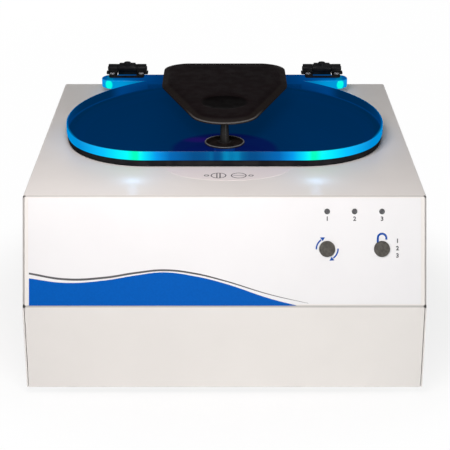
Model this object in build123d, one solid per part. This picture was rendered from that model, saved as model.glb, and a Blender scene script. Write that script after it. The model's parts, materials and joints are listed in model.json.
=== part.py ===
from build123d import *
import os
from math import atan2, cos, degrees, pi, radians, sin, sqrt, tan

# A bench centrifuge with a horizontal rotor: sheet steel case, lit acrylic lid with a raised
# hand plate, four swinging buckets of six tubes, and a solenoid lock under the front of the deck.
# Millimetres. X is to the right, Y to the back, Z up. The feet stand on Z = 0.

# Case
LID_SIDE = 26.5
DECK_MARGIN = 0.7
SHELF_MARGIN = 2.0
PANEL_RUN = 45.0
PANEL_RISE = 113.0
FOOT_HEIGHT = 9.0
SHEET = 1.5
BEND_RADIUS = 3.0
SEAM_WIDTH = 0.8
PAN_FLANGE = 15.0
REAR_RECESS = 8.0
FOOT_INSET = 46.0
FOOT_RADIUS = 13.0
FOOT_EDGE = 1.5
REAR_FLANGE = 14.0
SIDE_SCREW_DROP = 40.0
SIDE_SCREW_RISE = 60.0
SIDE_SCREW_FRONT = 45.0
SIDE_SCREW_BACK = 40.0

# Room left between pieces
GAP = 0.3
RUNNING = 0.05
HOLE_SLACK = 0.2
HEAD_ROOM = 1.0

# Opening in the deck
OPENING_COVER = 8.0
OPENING_FRONT = 113.0
TONGUE_RADIUS = 24.0

# Lid
LID_OVERLAP = 22.0
FRONT_OVERLAP = 18.0
LID_CORNER = 100.0
LID_THICKNESS = 12.0
LID_EDGE = 0.8
GASKET_HEIGHT = 7.2
GASKET_WIDTH = 10.0
GASKET_INSET = 1.0
BLIND_FLOOR = 2.0
EAR_SIDE = 28.5
EAR_DEPTH = 31.4
EAR_INSET = 14.4
LED_RADIUS = 2.8
LED_HEIGHT = 9.0
FRONT_LED_X = 104.0
FRONT_LED_EDGE = 6.0

# Raised hand plate on the lid
HAND_GAP = 25.5
HAND_RIM = 2.0
HAND_CROWN = 3.5
HAND_BEVEL = 12.0
HAND_NOSE = 11.3
HAND_TIP_RADIUS = 41.0
HAND_FLARE = 17.7
HAND_HALF_WIDTH = 79.5
HAND_SHOULDER = 60.0
HAND_BACK = 153.0
HAND_CORNER = 32.0
DISH_RADIUS = 30.0
DISH_DEPTH = 1.8
DISH_SETBACK = -36.0
POST_RADIUS = 7.0
POST_X = 45.0
POST_Y = 108.0

# Striker and the lock
STRIKER_INSET = 13.3
STRIKER_RADIUS = 5.5
STRIKER_TOP_RADIUS = 4.5
STRIKER_NOSE = 4.0
GROOVE_RADIUS = 3.0
GROOVE_HEIGHT = 5.0
WELL_RADIUS = 23.5
WELL_HEIGHT = 2.0
WELL_LIP = 1.6
WELL_DISH = 1.2
WELL_SLEEVE = 12.0
WELL_EDGE = 0.5
LOCK_HEIGHT = 15.0
LOCK_SIDE = 2.0
LOCK_BACK = 16.0
LOCK_BEYOND = 6.0
LOCK_PLATE = 3.0
LOCK_CORNER = 10.0
SEAL_ROOM = 1.5
BORE_SLACK = 2.5
BOLT_WIDTH = 20.0
BOLT_THICKNESS = 3.0
BOLT_DROP = 9.5
BOLT_TRAVEL = 10.0
FORK_DEPTH = 8.0
BOLT_TIP_GAP = 0.4
BOLT_SPARE = 2.0
SOLENOID_LENGTH = 22.0
SOLENOID_WIDTH = 30.0
SOLENOID_HEIGHT = 15.0
PLUNGER_RADIUS = 3.5
PLUNGER_GAP = 2.0

# Hinges
HINGE_INSET = 33.5
HINGE_BEHIND = 10.0
HINGE_RISE = 6.0
KNUCKLE_RADIUS = 6.0
KNUCKLE_LENGTH = 52.0
CENTRE_KNUCKLE = 26.0
HINGE_PIN_RADIUS = 3.0
LEAF_WING = 2.5
LEAF_DEPTH = 28.0
LEAF_THICKNESS = 3.0
LEAF_BAR = 2.5
LEAF_STEP = 4.5
WING_DEPTH = 10.3
WING_CORNER = 2.0
LEAF_SCREW_EDGE = 9.7
BASE_FRONT = 7.0
BASE_BACK = 9.0
BASE_FOOT = 4.0
BASE_SCREW_Y = 2.5
BASE_CORNER = 3.0
WEB_HALF = 4.0
LEAF_CORNER = 4.0
HINGE_PIN_PROUD = 1.0
TORQUE_CAP_RADIUS = 5.2
TORQUE_CAP_HEIGHT = 3.0
TORQUE_CAP_EDGE = 2.0
CAP_SEAT = 1.0

# Rotor
SWING_HEADROOM = 6.0
TRUNNION_REACH = 75.0
TRUNNION_RADIUS = 3.0
DISC_THICKNESS = 8.0
HUB_RADIUS = 17.0
HUB_ROOM = 4.0
RIB_WIDTH = 16.0
RIB_HEIGHT = 14.0
RIB_REACH = 60.0
LUG_THICKNESS = 12.0
LUG_HALF_WIDTH = 8.0
LUG_BELOW = 8.0
POCKET_CORNER = 9.0
SWING_ROOM = 2.5
SIDE_ROOM = 2.5
NUT_RADIUS = 15.0
NUT_HEIGHT = 10.0
NUT_LOBES = 6
LOBE_RADIUS = 3.75
LOBE_REACH = 16.5
NUT_EDGE = 1.5
NUT_ROOF = 2.0
PIN_INSET = 2.0

# Buckets and their tube sockets
BUCKET_COUNT = 4
BUCKET_SIDE = 5.6
BUCKET_WALL = 2.8
BUCKET_FLOOR = 6.0
BUCKET_ABOVE_PIN = 14.0
BUCKET_CORNER = 9.0
SOCKET_RADIUS = 8.8
SOCKET_DEPTH = 94.0
SOCKET_WALL = 3.0
ROW_WALL = 3.2
SOCKET_COLUMNS = 3
CUSHION_THICKNESS = 3.0
PIN_IN_BUCKET = 5.0
PIN_END_ROOM = 0.5
BUCKET_EDGE = 2.0

# Chamber
BOWL_CLEARANCE = 17.24
BOWL_WALL = 1.2
BOWL_CORNER = 14.0
HANG_ROOM = 6.0
MOTOR_ROOM = 8.3
BOWL_HOLE = 22.0
LOCK_ROOM = 1.5
SEAL_COVER = 4.0
RING_WALL = 3.0
RING_GAP = 4.0
RING_BOTTOM = 60.0
RING_LEG_WIDTH = 22.0
BOOT_HEIGHT = 12.0
BOOT_ROOM = 2.5
BOOT_WALL = 2.5
BOOT_FLANGE = 6.0

# Motor
MOTOR_RADIUS = 58.0
MOTOR_HEIGHT = 44.0
MOTOR_WALL = 5.0
MOTOR_ROUNDING = 4.0
BEARING_FLOOR = 2.0
SHAFT_LIFT = 1.0
SHAFT_RADIUS = 6.0
BEARING_RADIUS = 16.0
BEARING_HEIGHT = 8.0
BEARING_SEAT_WALL = 5.0
STATOR_INNER = 35.0
STATOR_HEIGHT = 22.0
AIR_GAP = 1.0
ARMATURE_INSET = 0.5
MOTOR_PLATE = 4.0
MOTOR_PLATE_HALF = 80.0
MOTOR_PLATE_CORNER = 15.0
ISOLATOR_RADIUS = 11.0
ISOLATOR_HEIGHT = 16.0
ISOLATOR_SPREAD = 60.0

# Controls on the sloped panel: distances across from the middle and down from its top edge
OVERLAY_SIDE = 6.5
OVERLAY_MARGIN = 1.0
OVERLAY_THICKNESS = 0.4
BUTTON_RADIUS = 8.6
BUTTON_DOWN = 58.4
START_X = 112.8
UNLOCK_X = 173.1
BUTTON_PROUD = 1.6
BUTTON_TRAVEL = 1.2
BUTTON_FLANGE = 1.4
BUTTON_FLANGE_RADIUS = 10.5
BUTTON_STEM_RADIUS = 4.0
PANEL_HOLE_SLACK = 0.3
INDICATOR_X = (START_X, (START_X + UNLOCK_X) / 2, UNLOCK_X)
INDICATOR_DOWN = 17.2
INDICATOR_RADIUS = 2.9
INDICATOR_PROUD = 0.3
INDICATOR_BODY = 9.0
INDICATOR_LEG_RADIUS = 1.4
BOARD_DEPTH = 18.0
BOARD_THICKNESS = 1.6
BOARD_MARGIN = 16.0
STANDOFF_RADIUS = 3.0
STANDOFF_INSET = 5.0
SWITCH_SIZE = 14.0
SWITCH_HEIGHT = 8.0

# Label in front of the lid
LABEL_HALF_WIDTH = 72.0
LABEL_ASIDE = 4.3
LABEL_FRONT = 49.0
LABEL_THICKNESS = 0.25
LABEL_LID_GAP = 1.5

# Back panel and mains parts
INLET_SIDE = 71.0
MAINS_Z = 58.0
INLET_WALL = 1.9
INLET_HEIGHT = 48.0
INLET_DEPTH = 25.0
INLET_FLANGE = 2.5
INLET_FLANGE_MARGIN = 4.0
INLET_CORNER = 3.0
SOCKET_OPENING_WIDTH = 24.2
SOCKET_OPENING_HEIGHT = 16.6
SOCKET_OPENING_DEPTH = 18.0
SOCKET_UP = 11.0
SOCKET_CHAMFER = 5.0
PIN_PITCH = 14.0
EARTH_UP = 4.0
LINE_DOWN = 2.0
PIN_WIDTH = 2.0
PIN_HEIGHT = 4.0
PIN_LENGTH = 14.0
DRAWER_WIDTH = 24.0
DRAWER_HEIGHT = 13.0
DRAWER_DOWN = 13.0
DRAWER_DEPTH = 20.0
DRAWER_PROUD = 1.5
DRAWER_WALL = 2.0
DRAWER_FRONT = 3.0
SWITCH_SPACING = 55.0
ROCKER_WIDTH = 16.0
ROCKER_HEIGHT = 24.0
ROCKER_TILT = 8.0
SWITCH_DEPTH = 20.0
SWITCH_WALL = 2.0
SWITCH_MARGIN = 2.0
SWITCH_CORNER = 2.0
ROCKER_PIVOT = 3.0
ROCKER_HORN = 4.4
ROCKER_DIP = 3.2
ROCKER_LOW = 1.0
ROCKER_TAIL = 7.0
ROCKER_TAIL_HALF = 3.0
ROCKER_END = 0.8
ROCKER_PIN_RADIUS = 1.5
ROCKER_PIN_REACH = 1.0
VENT_COLUMNS = 3
VENT_ROWS = 7
VENT_LENGTH = 60.0
VENT_HEIGHT = 4.0
VENT_PITCH_X = 74.0
VENT_PITCH_Z = 11.0
VENT_X = 55.0
VENT_Z = 60.0
POWER_BOARD_LENGTH = 120.0
POWER_BOARD_WIDTH = 80.0
POWER_SIDE = 14.0
POWER_STAND = 7.0
TRANSFORMER_HALF = 20.0
TRANSFORMER_WIDE = 22.0
TRANSFORMER_HEIGHT = 28.0
TRANSFORMER_X = -32.0
CAPACITOR_X = (9.0, 36.0)
CAPACITOR_RADIUS = 11.0
CAPACITOR_HEIGHT = 26.0
CORE_CORNER = 2.0

# Screws: shank radius, head radius, head height
CASE_SCREW = (2.0, 3.8, 2.0)
LEAF_SCREW = (2.0, 3.6, 1.8)
POST_SCREW = (2.5, 5.0, 2.0)
SCREW_REACH = 8.0
HEAD_ROUNDING = 0.6

# A cut runs this far past the faces that it opens
THROUGH = SHEET

# Buckets and rotor that follow from the tube sockets
SOCKET_PITCH = 2 * SOCKET_RADIUS + SOCKET_WALL
SOCKET_ROW_PITCH = 2 * SOCKET_RADIUS + ROW_WALL
BUCKET_WIDTH = (SOCKET_COLUMNS - 1) * SOCKET_PITCH + 2 * (SOCKET_RADIUS + BUCKET_SIDE)
BUCKET_THICKNESS = SOCKET_ROW_PITCH + 2 * (SOCKET_RADIUS + BUCKET_WALL)
BUCKET_HEIGHT = SOCKET_DEPTH + BUCKET_FLOOR
DISC_RADIUS = TRUNNION_REACH + BUCKET_THICKNESS / 2
POCKET_HALF = BUCKET_WIDTH / 2 + SIDE_ROOM
PIN_REACH = POCKET_HALF + LUG_THICKNESS - PIN_INSET

# Plan of the chamber, lid and case, outwards from the swung buckets
SWUNG_REACH = TRUNNION_REACH + BUCKET_HEIGHT - BUCKET_ABOVE_PIN
BOWL_RADIUS = sqrt(SWUNG_REACH**2 + (BUCKET_WIDTH / 2) ** 2) + BOWL_CLEARANCE
SEAL_INNER = BOWL_RADIUS - SEAL_COVER
RING_INNER = BOWL_RADIUS + BOWL_WALL + RING_GAP
OPENING_RADIUS = BOWL_RADIUS - OPENING_COVER
LID_RADIUS = OPENING_RADIUS + LID_OVERLAP
LID_FRONT = OPENING_FRONT + FRONT_OVERLAP
EAR_HALF_WIDTH = LID_RADIUS - EAR_SIDE
EAR_SETBACK = LID_RADIUS - EAR_INSET
HINGE_X = EAR_HALF_WIDTH - HINGE_INSET
HINGE_SETBACK = EAR_SETBACK + EAR_DEPTH / 2 + HINGE_BEHIND
STRIKER_SETBACK = OPENING_FRONT - STRIKER_INSET
HAND_TIP = STRIKER_SETBACK + HAND_NOSE
LOCK_WIDTH = 2 * (TONGUE_RADIUS - LOCK_SIDE)
LOCK_FRONT = BOWL_RADIUS + LOCK_BEYOND
BOLT_PROUD = BOLT_TRAVEL + BOLT_SPARE
SOLENOID_FRONT = LOCK_FRONT + BOLT_PROUD + PLUNGER_GAP + SOLENOID_LENGTH
AXIS_SETBACK = SOLENOID_FRONT + SHELF_MARGIN
DECK_DEPTH = AXIS_SETBACK + HINGE_SETBACK + BASE_BACK + DECK_MARGIN
CASE_WIDTH = 2 * (LID_RADIUS + LID_SIDE)
HALF_WIDTH = CASE_WIDTH / 2
INSIDE_HALF = HALF_WIDTH - SHEET
OVERLAY_HALF = HALF_WIDTH - OVERLAY_SIDE

# Heights, upwards from the feet
FLOOR_TOP = FOOT_HEIGHT + SHEET
MOTOR_Z = FLOOR_TOP + ISOLATOR_HEIGHT + MOTOR_PLATE
MOTOR_TOP = MOTOR_Z + MOTOR_HEIGHT
MOTOR_MIDDLE = MOTOR_Z + MOTOR_HEIGHT / 2
BOWL_FLOOR = MOTOR_TOP + MOTOR_ROOM + BOWL_WALL
DISC_TOP = BOWL_FLOOR + HANG_ROOM + BUCKET_HEIGHT
HUB_LOW = BOWL_FLOOR + BOOT_HEIGHT + HUB_ROOM
TRUNNION_Z = DISC_TOP - BUCKET_ABOVE_PIN
FLANGE_Z = TRUNNION_Z + BUCKET_THICKNESS / 2 + SWING_HEADROOM
LOCK_UNDER = FLANGE_Z + LOCK_ROOM
DECK_UNDER = LOCK_UNDER + LOCK_HEIGHT
DECK_Z = DECK_UNDER + SHEET
CREASE_Z = DECK_Z - PANEL_RISE
LID_UNDER = DECK_Z + GAP + GASKET_HEIGHT
LID_TOP = LID_UNDER + LID_THICKNESS
HAND_UNDER = LID_TOP + HAND_GAP
BOLT_Z = DECK_Z - BOLT_DROP
HINGE_Z = LID_TOP + HINGE_RISE

# Places from front to back
FRONT = -(DECK_DEPTH + PANEL_RUN) / 2
REAR = -FRONT
DECK_FRONT = FRONT + PANEL_RUN
PANEL_LENGTH = sqrt(PANEL_RUN**2 + PANEL_RISE**2)
AXIS_Y = DECK_FRONT + AXIS_SETBACK
STRIKER_Y = AXIS_Y - STRIKER_SETBACK
STRIKER_BORE = STRIKER_RADIUS + BORE_SLACK
BOLT_TIP = STRIKER_Y - STRIKER_BORE - BOLT_TIP_GAP
PLUNGER_FRONT = AXIS_Y - LOCK_FRONT - BOLT_PROUD
BUTTON_FOOT = BOARD_DEPTH - SWITCH_HEIGHT / 2
HINGE_Y = AXIS_Y + HINGE_SETBACK
LEAF_WIDTH = KNUCKLE_LENGTH + 2 * LEAF_WING
LEAF_SCREW_X = (CENTRE_KNUCKLE + KNUCKLE_LENGTH) / 4
LEAF_SCREW_Y = LEAF_DEPTH - LEAF_SCREW_EDGE
REAR_FACE = REAR - REAR_RECESS
MAINS_FACE = REAR_FACE + INLET_FLANGE
SOCKET_Z = MAINS_Z + SOCKET_UP
DRAWER_Z = MAINS_Z - DRAWER_DOWN
INLET_WIDTH = SOCKET_OPENING_WIDTH + 2 * INLET_WALL
INLET_X = INLET_SIDE - INSIDE_HALF
SWITCH_X = INLET_X + SWITCH_SPACING
POWER_BOARD_X = INSIDE_HALF - POWER_SIDE - POWER_BOARD_LENGTH / 2

# The sloped panel's own plane: X across, Y up the slope, Z out of the panel
PANEL = Plane(origin=(0, DECK_FRONT, DECK_Z), x_dir=(1, 0, 0), z_dir=(0, -PANEL_RISE, PANEL_RUN))


def rod(radius, x, y, low, high):
    """An upright cylinder between two heights."""
    return Pos(x, y, (low + high) / 2) * Cylinder(radius, high - low)


def tube(outer, inner, x, y, low, high):
    return rod(outer, x, y, low, high) - rod(inner, x, y, low, high)


def block(x0, x1, y0, y1, z0, z1):
    """A box between two corners."""
    centre = Pos((x0 + x1) / 2, (y0 + y1) / 2, (z0 + z1) / 2)
    return centre * Box(x1 - x0, y1 - y0, z1 - z0)


def back_block(x, z, half_wide, half_high, y0, y1):
    """A box centred on a place on the back panel, between two depths."""
    return block(x - half_wide, x + half_wide, y0, y1, z - half_high, z + half_high)


def on_panel(across, down, depth):
    """A place on the sloped panel, with depth measured into the case."""
    return PANEL * Pos(across, -down, -depth)


def panel_rod(radius, across, down, outer, inner):
    """A cylinder square to the panel, from outer to inner depth."""
    return on_panel(across, down, (outer + inner) / 2) * Cylinder(radius, inner - outer)


def screw(sizes, reach):
    """A button head screw with its seat at the origin, pointing down."""
    shank, head, height = sizes
    top = Pos(0, 0, height / 2) * Cylinder(head, height)
    top = fillet(top.edges().group_by(Axis.Z)[-1], height * HEAD_ROUNDING)
    return top + Pos(0, 0, -reach / 2) * Cylinder(shank, reach)


def group(pieces):
    """Separate solids that share one node."""
    return Compound(children=list(pieces))


def case_profile(grow_down, grow_back):
    """The case from the side, in Y and Z."""
    low = FOOT_HEIGHT - grow_down
    back = REAR + grow_back
    points = [(FRONT, low), (FRONT, CREASE_Z), (DECK_FRONT, DECK_Z), (back, DECK_Z), (back, low)]
    return Plane.YZ * make_face(Polyline(*points, close=True))


def opening_outline():
    """The deck's opening: a circle cut off in front, less the tongue that carries the lock."""
    half_front = sqrt(OPENING_RADIUS**2 - OPENING_FRONT**2)
    hole = make_face(
        [
            Line((-half_front, -OPENING_FRONT), (half_front, -OPENING_FRONT)),
            ThreePointArc(
                (half_front, -OPENING_FRONT), (0, OPENING_RADIUS), (-half_front, -OPENING_FRONT)
            ),
        ]
    )
    tongue = Pos(0, -STRIKER_SETBACK) * Circle(TONGUE_RADIUS)
    square = Rectangle(2 * TONGUE_RADIUS, 2 * TONGUE_RADIUS)
    root = Pos(0, -STRIKER_SETBACK - TONGUE_RADIUS) * square
    return Pos(0, AXIS_Y) * (hole - tongue - root)


def case_shell():
    """Deck, sides, sloped panel and lower front, folded from one sheet."""
    outer = extrude(case_profile(0, 0), HALF_WIDTH, both=True)
    roof = outer.edges().filter_by(Axis.Y).group_by(Axis.Z)[-1]
    outer = fillet(roof, BEND_RADIUS)
    across = outer.edges().filter_by(Axis.X)
    folds = across.filter_by_position(Axis.Z, CREASE_Z - SHEET, DECK_Z + SHEET).group_by(Axis.Y)
    outer = fillet(folds[0] + folds[1], BEND_RADIUS)
    room = offset(case_profile(SHEET, SHEET), -SHEET, kind=Kind.INTERSECTION)
    inner = extrude(room, INSIDE_HALF, both=True)
    shell = outer - inner
    shell -= extrude(Pos(0, 0, DECK_Z + THROUGH) * opening_outline(), -4 * SHEET)
    shell -= rod(STRIKER_BORE, 0, STRIKER_Y, DECK_UNDER - THROUGH, DECK_Z + THROUGH)
    for side in (-1, 1):
        seam = side * (INSIDE_HALF - SEAM_WIDTH / 2)
        reach = DECK_FRONT + BEND_RADIUS
        slit = block(-SEAM_WIDTH / 2, SEAM_WIDTH / 2, FRONT - THROUGH, reach, 0, DECK_Z + THROUGH)
        shell -= Pos(seam, 0, 0) * slit
    for x in (START_X, UNLOCK_X):
        shell -= panel_rod(BUTTON_RADIUS + PANEL_HOLE_SLACK, x, BUTTON_DOWN, -THROUGH, 2 * SHEET)
    for x in INDICATOR_X:
        shell -= panel_rod(INDICATOR_RADIUS + PANEL_HOLE_SLACK, x, INDICATOR_DOWN, -THROUGH, 2 * SHEET)
    hole = CASE_SCREW[0] + HOLE_SLACK
    for place in case_screw_places():
        shell -= place * Cylinder(hole, 6 * SHEET)
    for x, y in deck_screw_places():
        shell -= rod(hole, x, y, DECK_UNDER - THROUGH, DECK_Z + THROUGH)
    return shell


def case_screw_places():
    """Seats of the side screws, heads outwards."""
    rear_y = REAR_FACE - SHEET - REAR_FLANGE / 2
    low = FLOOR_TOP + PAN_FLANGE / 2
    seats = [
        (rear_y, DECK_Z - SIDE_SCREW_DROP),
        (rear_y, FOOT_HEIGHT + SIDE_SCREW_RISE),
        (FRONT + SIDE_SCREW_FRONT, low),
        (0, low),
        (REAR_FACE - SIDE_SCREW_BACK, low),
    ]
    places = []
    for side in (-1, 1):
        for y, z in seats:
            places.append(Pos(side * HALF_WIDTH, y, z) * Rot(0, side * 90, 0))
    return places


def case_screws():
    """Screws in the case's sides and in the feet of the hinge brackets."""
    seats = case_screw_places()
    for x, y in deck_screw_places():
        seats.append(Pos(x, y, DECK_Z + BASE_FOOT))
    return group(seat * screw(CASE_SCREW, SCREW_REACH) for seat in seats)


def base_pan():
    """Floor tray with its edges turned up inside the case."""
    half = INSIDE_HALF - GAP
    front = FRONT + SHEET + GAP
    back = REAR_FACE - SHEET - GAP
    pan = block(-half, half, front, back, FOOT_HEIGHT, FLOOR_TOP + PAN_FLANGE)
    pan -= block(-half + SHEET, half - SHEET, front + SHEET, back - SHEET, FLOOR_TOP, DECK_Z)
    for place in case_screw_places():
        pan -= place * Cylinder(CASE_SCREW[0] + HOLE_SLACK, 4 * SCREW_REACH)
    for x, y in foot_places():
        pan -= rod(CASE_SCREW[0] + HOLE_SLACK, x, y, 0, FLOOR_TOP + THROUGH)
    return pan


def rear_panel():
    """Back plate, set into the case, with side flanges, vents and mains cut-outs."""
    half = INSIDE_HALF - GAP
    top = DECK_UNDER - GAP
    inside = REAR_FACE - SHEET
    panel = block(-half, half, inside, REAR_FACE, FOOT_HEIGHT, top)
    for side in (-1, 1):
        edges = sorted((side * half, side * (half - SHEET)))
        low = FLOOR_TOP + PAN_FLANGE + GAP
        panel += block(*edges, inside - REAR_FLANGE, inside, low, top)
    for column in range(VENT_COLUMNS):
        for row in range(VENT_ROWS):
            x = VENT_X + (column - (VENT_COLUMNS - 1) / 2) * VENT_PITCH_X
            z = VENT_Z + row * VENT_PITCH_Z
            slot = SlotOverall(VENT_LENGTH, VENT_HEIGHT)
            panel -= extrude(Plane.XZ.offset(-REAR) * Pos(x, z) * slot, 4 * REAR_RECESS)
    panel -= mains_window(INLET_X, INLET_WIDTH / 2, INLET_HEIGHT / 2)
    panel -= mains_window(SWITCH_X, ROCKER_WIDTH / 2 + SWITCH_WALL, ROCKER_HEIGHT / 2 + SWITCH_WALL)
    for place in case_screw_places():
        panel -= place * Cylinder(CASE_SCREW[0] + HOLE_SLACK, 4 * SCREW_REACH)
    return panel


def mains_window(x, half_wide, half_high):
    """A cut-out in the back panel, just larger than what it holds."""
    wide = half_wide + HOLE_SLACK
    high = half_high + HOLE_SLACK
    return back_block(x, MAINS_Z, wide, high, REAR_FACE - 2 * SHEET, REAR)


def foot_places():
    spots = []
    for x in (-HALF_WIDTH + FOOT_INSET, HALF_WIDTH - FOOT_INSET):
        for y in (FRONT + FOOT_INSET, REAR - FOOT_INSET):
            spots.append((x, y))
    return spots


def feet():
    """Four rubber feet, each with a well for its screw."""
    feet_made = []
    for x, y in foot_places():
        foot = rod(FOOT_RADIUS, x, y, 0, FOOT_HEIGHT)
        foot = chamfer(foot.edges().group_by(Axis.Z)[0], FOOT_EDGE)
        foot -= rod(CASE_SCREW[1] + HEAD_ROOM, x, y, -THROUGH, FOOT_HEIGHT / 2)
        foot -= rod(CASE_SCREW[0] + HOLE_SLACK, x, y, 0, FOOT_HEIGHT + THROUGH)
        feet_made.append(foot)
    return group(feet_made)


def foot_screws():
    made = []
    for x, y in foot_places():
        made.append(Pos(x, y, FOOT_HEIGHT / 2) * Rot(180, 0, 0) * screw(CASE_SCREW, SCREW_REACH))
    return group(made)


def front_overlay():
    """Printed film on the sloped panel, holed for buttons and lamps."""
    middle = PANEL_LENGTH / 2
    down = PANEL_LENGTH - 2 * (OVERLAY_MARGIN + BEND_RADIUS / 2)
    film = Box(2 * OVERLAY_HALF, down, OVERLAY_THICKNESS)
    film = on_panel(0, middle, -OVERLAY_THICKNESS / 2) * film
    for x in (START_X, UNLOCK_X):
        film -= panel_rod(BUTTON_RADIUS + PANEL_HOLE_SLACK, x, BUTTON_DOWN, -2 * SHEET, SHEET)
    for x in INDICATOR_X:
        film -= panel_rod(INDICATOR_RADIUS + PANEL_HOLE_SLACK, x, INDICATOR_DOWN, -2 * SHEET, SHEET)
    return film


def button(x):
    """A round push button with a flange behind the panel and a stem to its switch."""
    proud = OVERLAY_THICKNESS + BUTTON_PROUD
    cap = panel_rod(BUTTON_RADIUS, x, BUTTON_DOWN, -proud, SHEET)
    rim = cap.edges().filter_by(GeomType.CIRCLE).sort_by(Axis.Y)[0]
    cap = fillet(rim, BUTTON_PROUD / 2)
    cap += panel_rod(BUTTON_FLANGE_RADIUS, x, BUTTON_DOWN, SHEET, SHEET + BUTTON_FLANGE)
    return cap + panel_rod(BUTTON_STEM_RADIUS, x, BUTTON_DOWN, SHEET, BUTTON_FOOT)


def button_switches():
    """Two switch housings on the control board, each with a well for a button's stem."""
    made = []
    for x in (START_X, UNLOCK_X):
        body = on_panel(x, BUTTON_DOWN, BUTTON_FOOT) * Box(SWITCH_SIZE, SWITCH_SIZE, SWITCH_HEIGHT)
        well = BUTTON_STEM_RADIUS + 2 * RUNNING
        top = BOARD_DEPTH - SWITCH_HEIGHT - THROUGH
        bottom = BUTTON_FOOT + BUTTON_TRAVEL + GAP
        made.append(body - panel_rod(well, x, BUTTON_DOWN, top, bottom))
    return group(made)


def board_box():
    """Across and down limits of the control board."""
    left = min(START_X, INDICATOR_X[0]) - BOARD_MARGIN
    right = max(UNLOCK_X, INDICATOR_X[-1]) + BOARD_MARGIN
    return left, right, INDICATOR_DOWN - BOARD_MARGIN / 2, BUTTON_DOWN + BOARD_MARGIN


def control_board():
    left, right, top, bottom = board_box()
    depth = BOARD_DEPTH + BOARD_THICKNESS / 2
    place = on_panel((left + right) / 2, (top + bottom) / 2, depth)
    return place * Box(right - left, bottom - top, BOARD_THICKNESS)


def board_standoffs():
    left, right, top, bottom = board_box()
    made = []
    for x in (left + STANDOFF_INSET, right - STANDOFF_INSET):
        for down in (top + STANDOFF_INSET, bottom - STANDOFF_INSET):
            made.append(panel_rod(STANDOFF_RADIUS, x, down, SHEET, BOARD_DEPTH))
    return group(made)


def indicator_leds():
    """Three round lamps that stand on the control board and look through the film."""
    made = []
    proud = OVERLAY_THICKNESS + INDICATOR_PROUD
    for x in INDICATOR_X:
        lamp = panel_rod(INDICATOR_RADIUS, x, INDICATOR_DOWN, -proud, INDICATOR_BODY)
        leg = panel_rod(INDICATOR_LEG_RADIUS, x, INDICATOR_DOWN, INDICATOR_BODY, BOARD_DEPTH)
        made.append(lamp + leg)
    return group(made)


def deck_label():
    """Half oval label that ends just in front of the lid."""
    back = AXIS_Y - LID_FRONT - LABEL_LID_GAP
    depth = back - DECK_FRONT - LABEL_FRONT
    oval = Ellipse(LABEL_HALF_WIDTH, depth)
    lower = oval - Pos(0, depth) * Rectangle(4 * LABEL_HALF_WIDTH, 2 * depth)
    return extrude(Pos(LABEL_ASIDE, back, DECK_Z) * lower, LABEL_THICKNESS)


def chamber_wall():
    """Rolled steel wall of the bowl, with a flange at its rim and its foot turned in."""
    outside = BOWL_RADIUS + BOWL_WALL
    flange_low = FLANGE_Z - BOWL_WALL
    shell = rod(outside, 0, AXIS_Y, BOWL_FLOOR - BOWL_WALL, FLANGE_Z)
    shell = fillet(shell.edges().group_by(Axis.Z)[0], BOWL_CORNER + BOWL_WALL)
    space = rod(BOWL_RADIUS, 0, AXIS_Y, BOWL_FLOOR, DECK_Z)
    space = fillet(space.edges().group_by(Axis.Z)[0], BOWL_CORNER)
    flange = rod(RING_INNER + RING_WALL, 0, AXIS_Y, flange_low, FLANGE_Z)
    foot = BOWL_RADIUS - BOWL_CORNER
    below = BOWL_FLOOR - BOWL_WALL - THROUGH
    return shell + flange - space - rod(foot, 0, AXIS_Y, below, BOWL_FLOOR + THROUGH)


def chamber_floor():
    """Flat floor of the bowl, welded inside the wall's foot, with a hole for the shaft."""
    return tube(BOWL_RADIUS - BOWL_CORNER, BOWL_HOLE, 0, AXIS_Y, BOWL_FLOOR - BOWL_WALL, BOWL_FLOOR)


def bowl_seal():
    """Rubber ring between the bowl's flange and the deck, open where the lock passes."""
    ring = tube(RING_INNER, SEAL_INNER, 0, AXIS_Y, FLANGE_Z, DECK_UNDER - GAP)
    half = LOCK_WIDTH / 2 + SEAL_ROOM
    front = AXIS_Y - RING_INNER - THROUGH
    return ring - block(-half, half, front, AXIS_Y, FLANGE_Z - THROUGH, DECK_Z)


def guard_ring():
    """Armour ring round the bowl, standing on four legs, with the bowl's flange on top."""
    top = FLANGE_Z - BOWL_WALL
    outer = RING_INNER + RING_WALL
    ring = tube(outer, RING_INNER, 0, AXIS_Y, RING_BOTTOM, top)
    legs = tube(outer, RING_INNER, 0, AXIS_Y, FLOOR_TOP, RING_BOTTOM)
    keep = Pos(0, AXIS_Y, 0) * Rot(0, 0, 45) * Box(RING_LEG_WIDTH, 4 * outer, 4 * outer)
    cross = Pos(0, AXIS_Y, 0) * Rot(0, 0, 135) * Box(RING_LEG_WIDTH, 4 * outer, 4 * outer)
    return ring + (legs & (keep + cross))


def shaft_boot():
    """Rubber cone that closes the bowl round the shaft."""
    bore = SHAFT_RADIUS + BOOT_ROOM
    flange = rod(BOWL_HOLE + BOOT_FLANGE, 0, AXIS_Y, BOWL_FLOOR, BOWL_FLOOR + BOOT_WALL)
    outer = Cone(BOWL_HOLE, bore + BOOT_WALL, BOOT_HEIGHT)
    inner = Cone(BOWL_HOLE - BOOT_WALL, bore, BOOT_HEIGHT)
    middle = Pos(0, AXIS_Y, BOWL_FLOOR + BOOT_HEIGHT / 2)
    return flange + middle * outer - middle * inner


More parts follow.
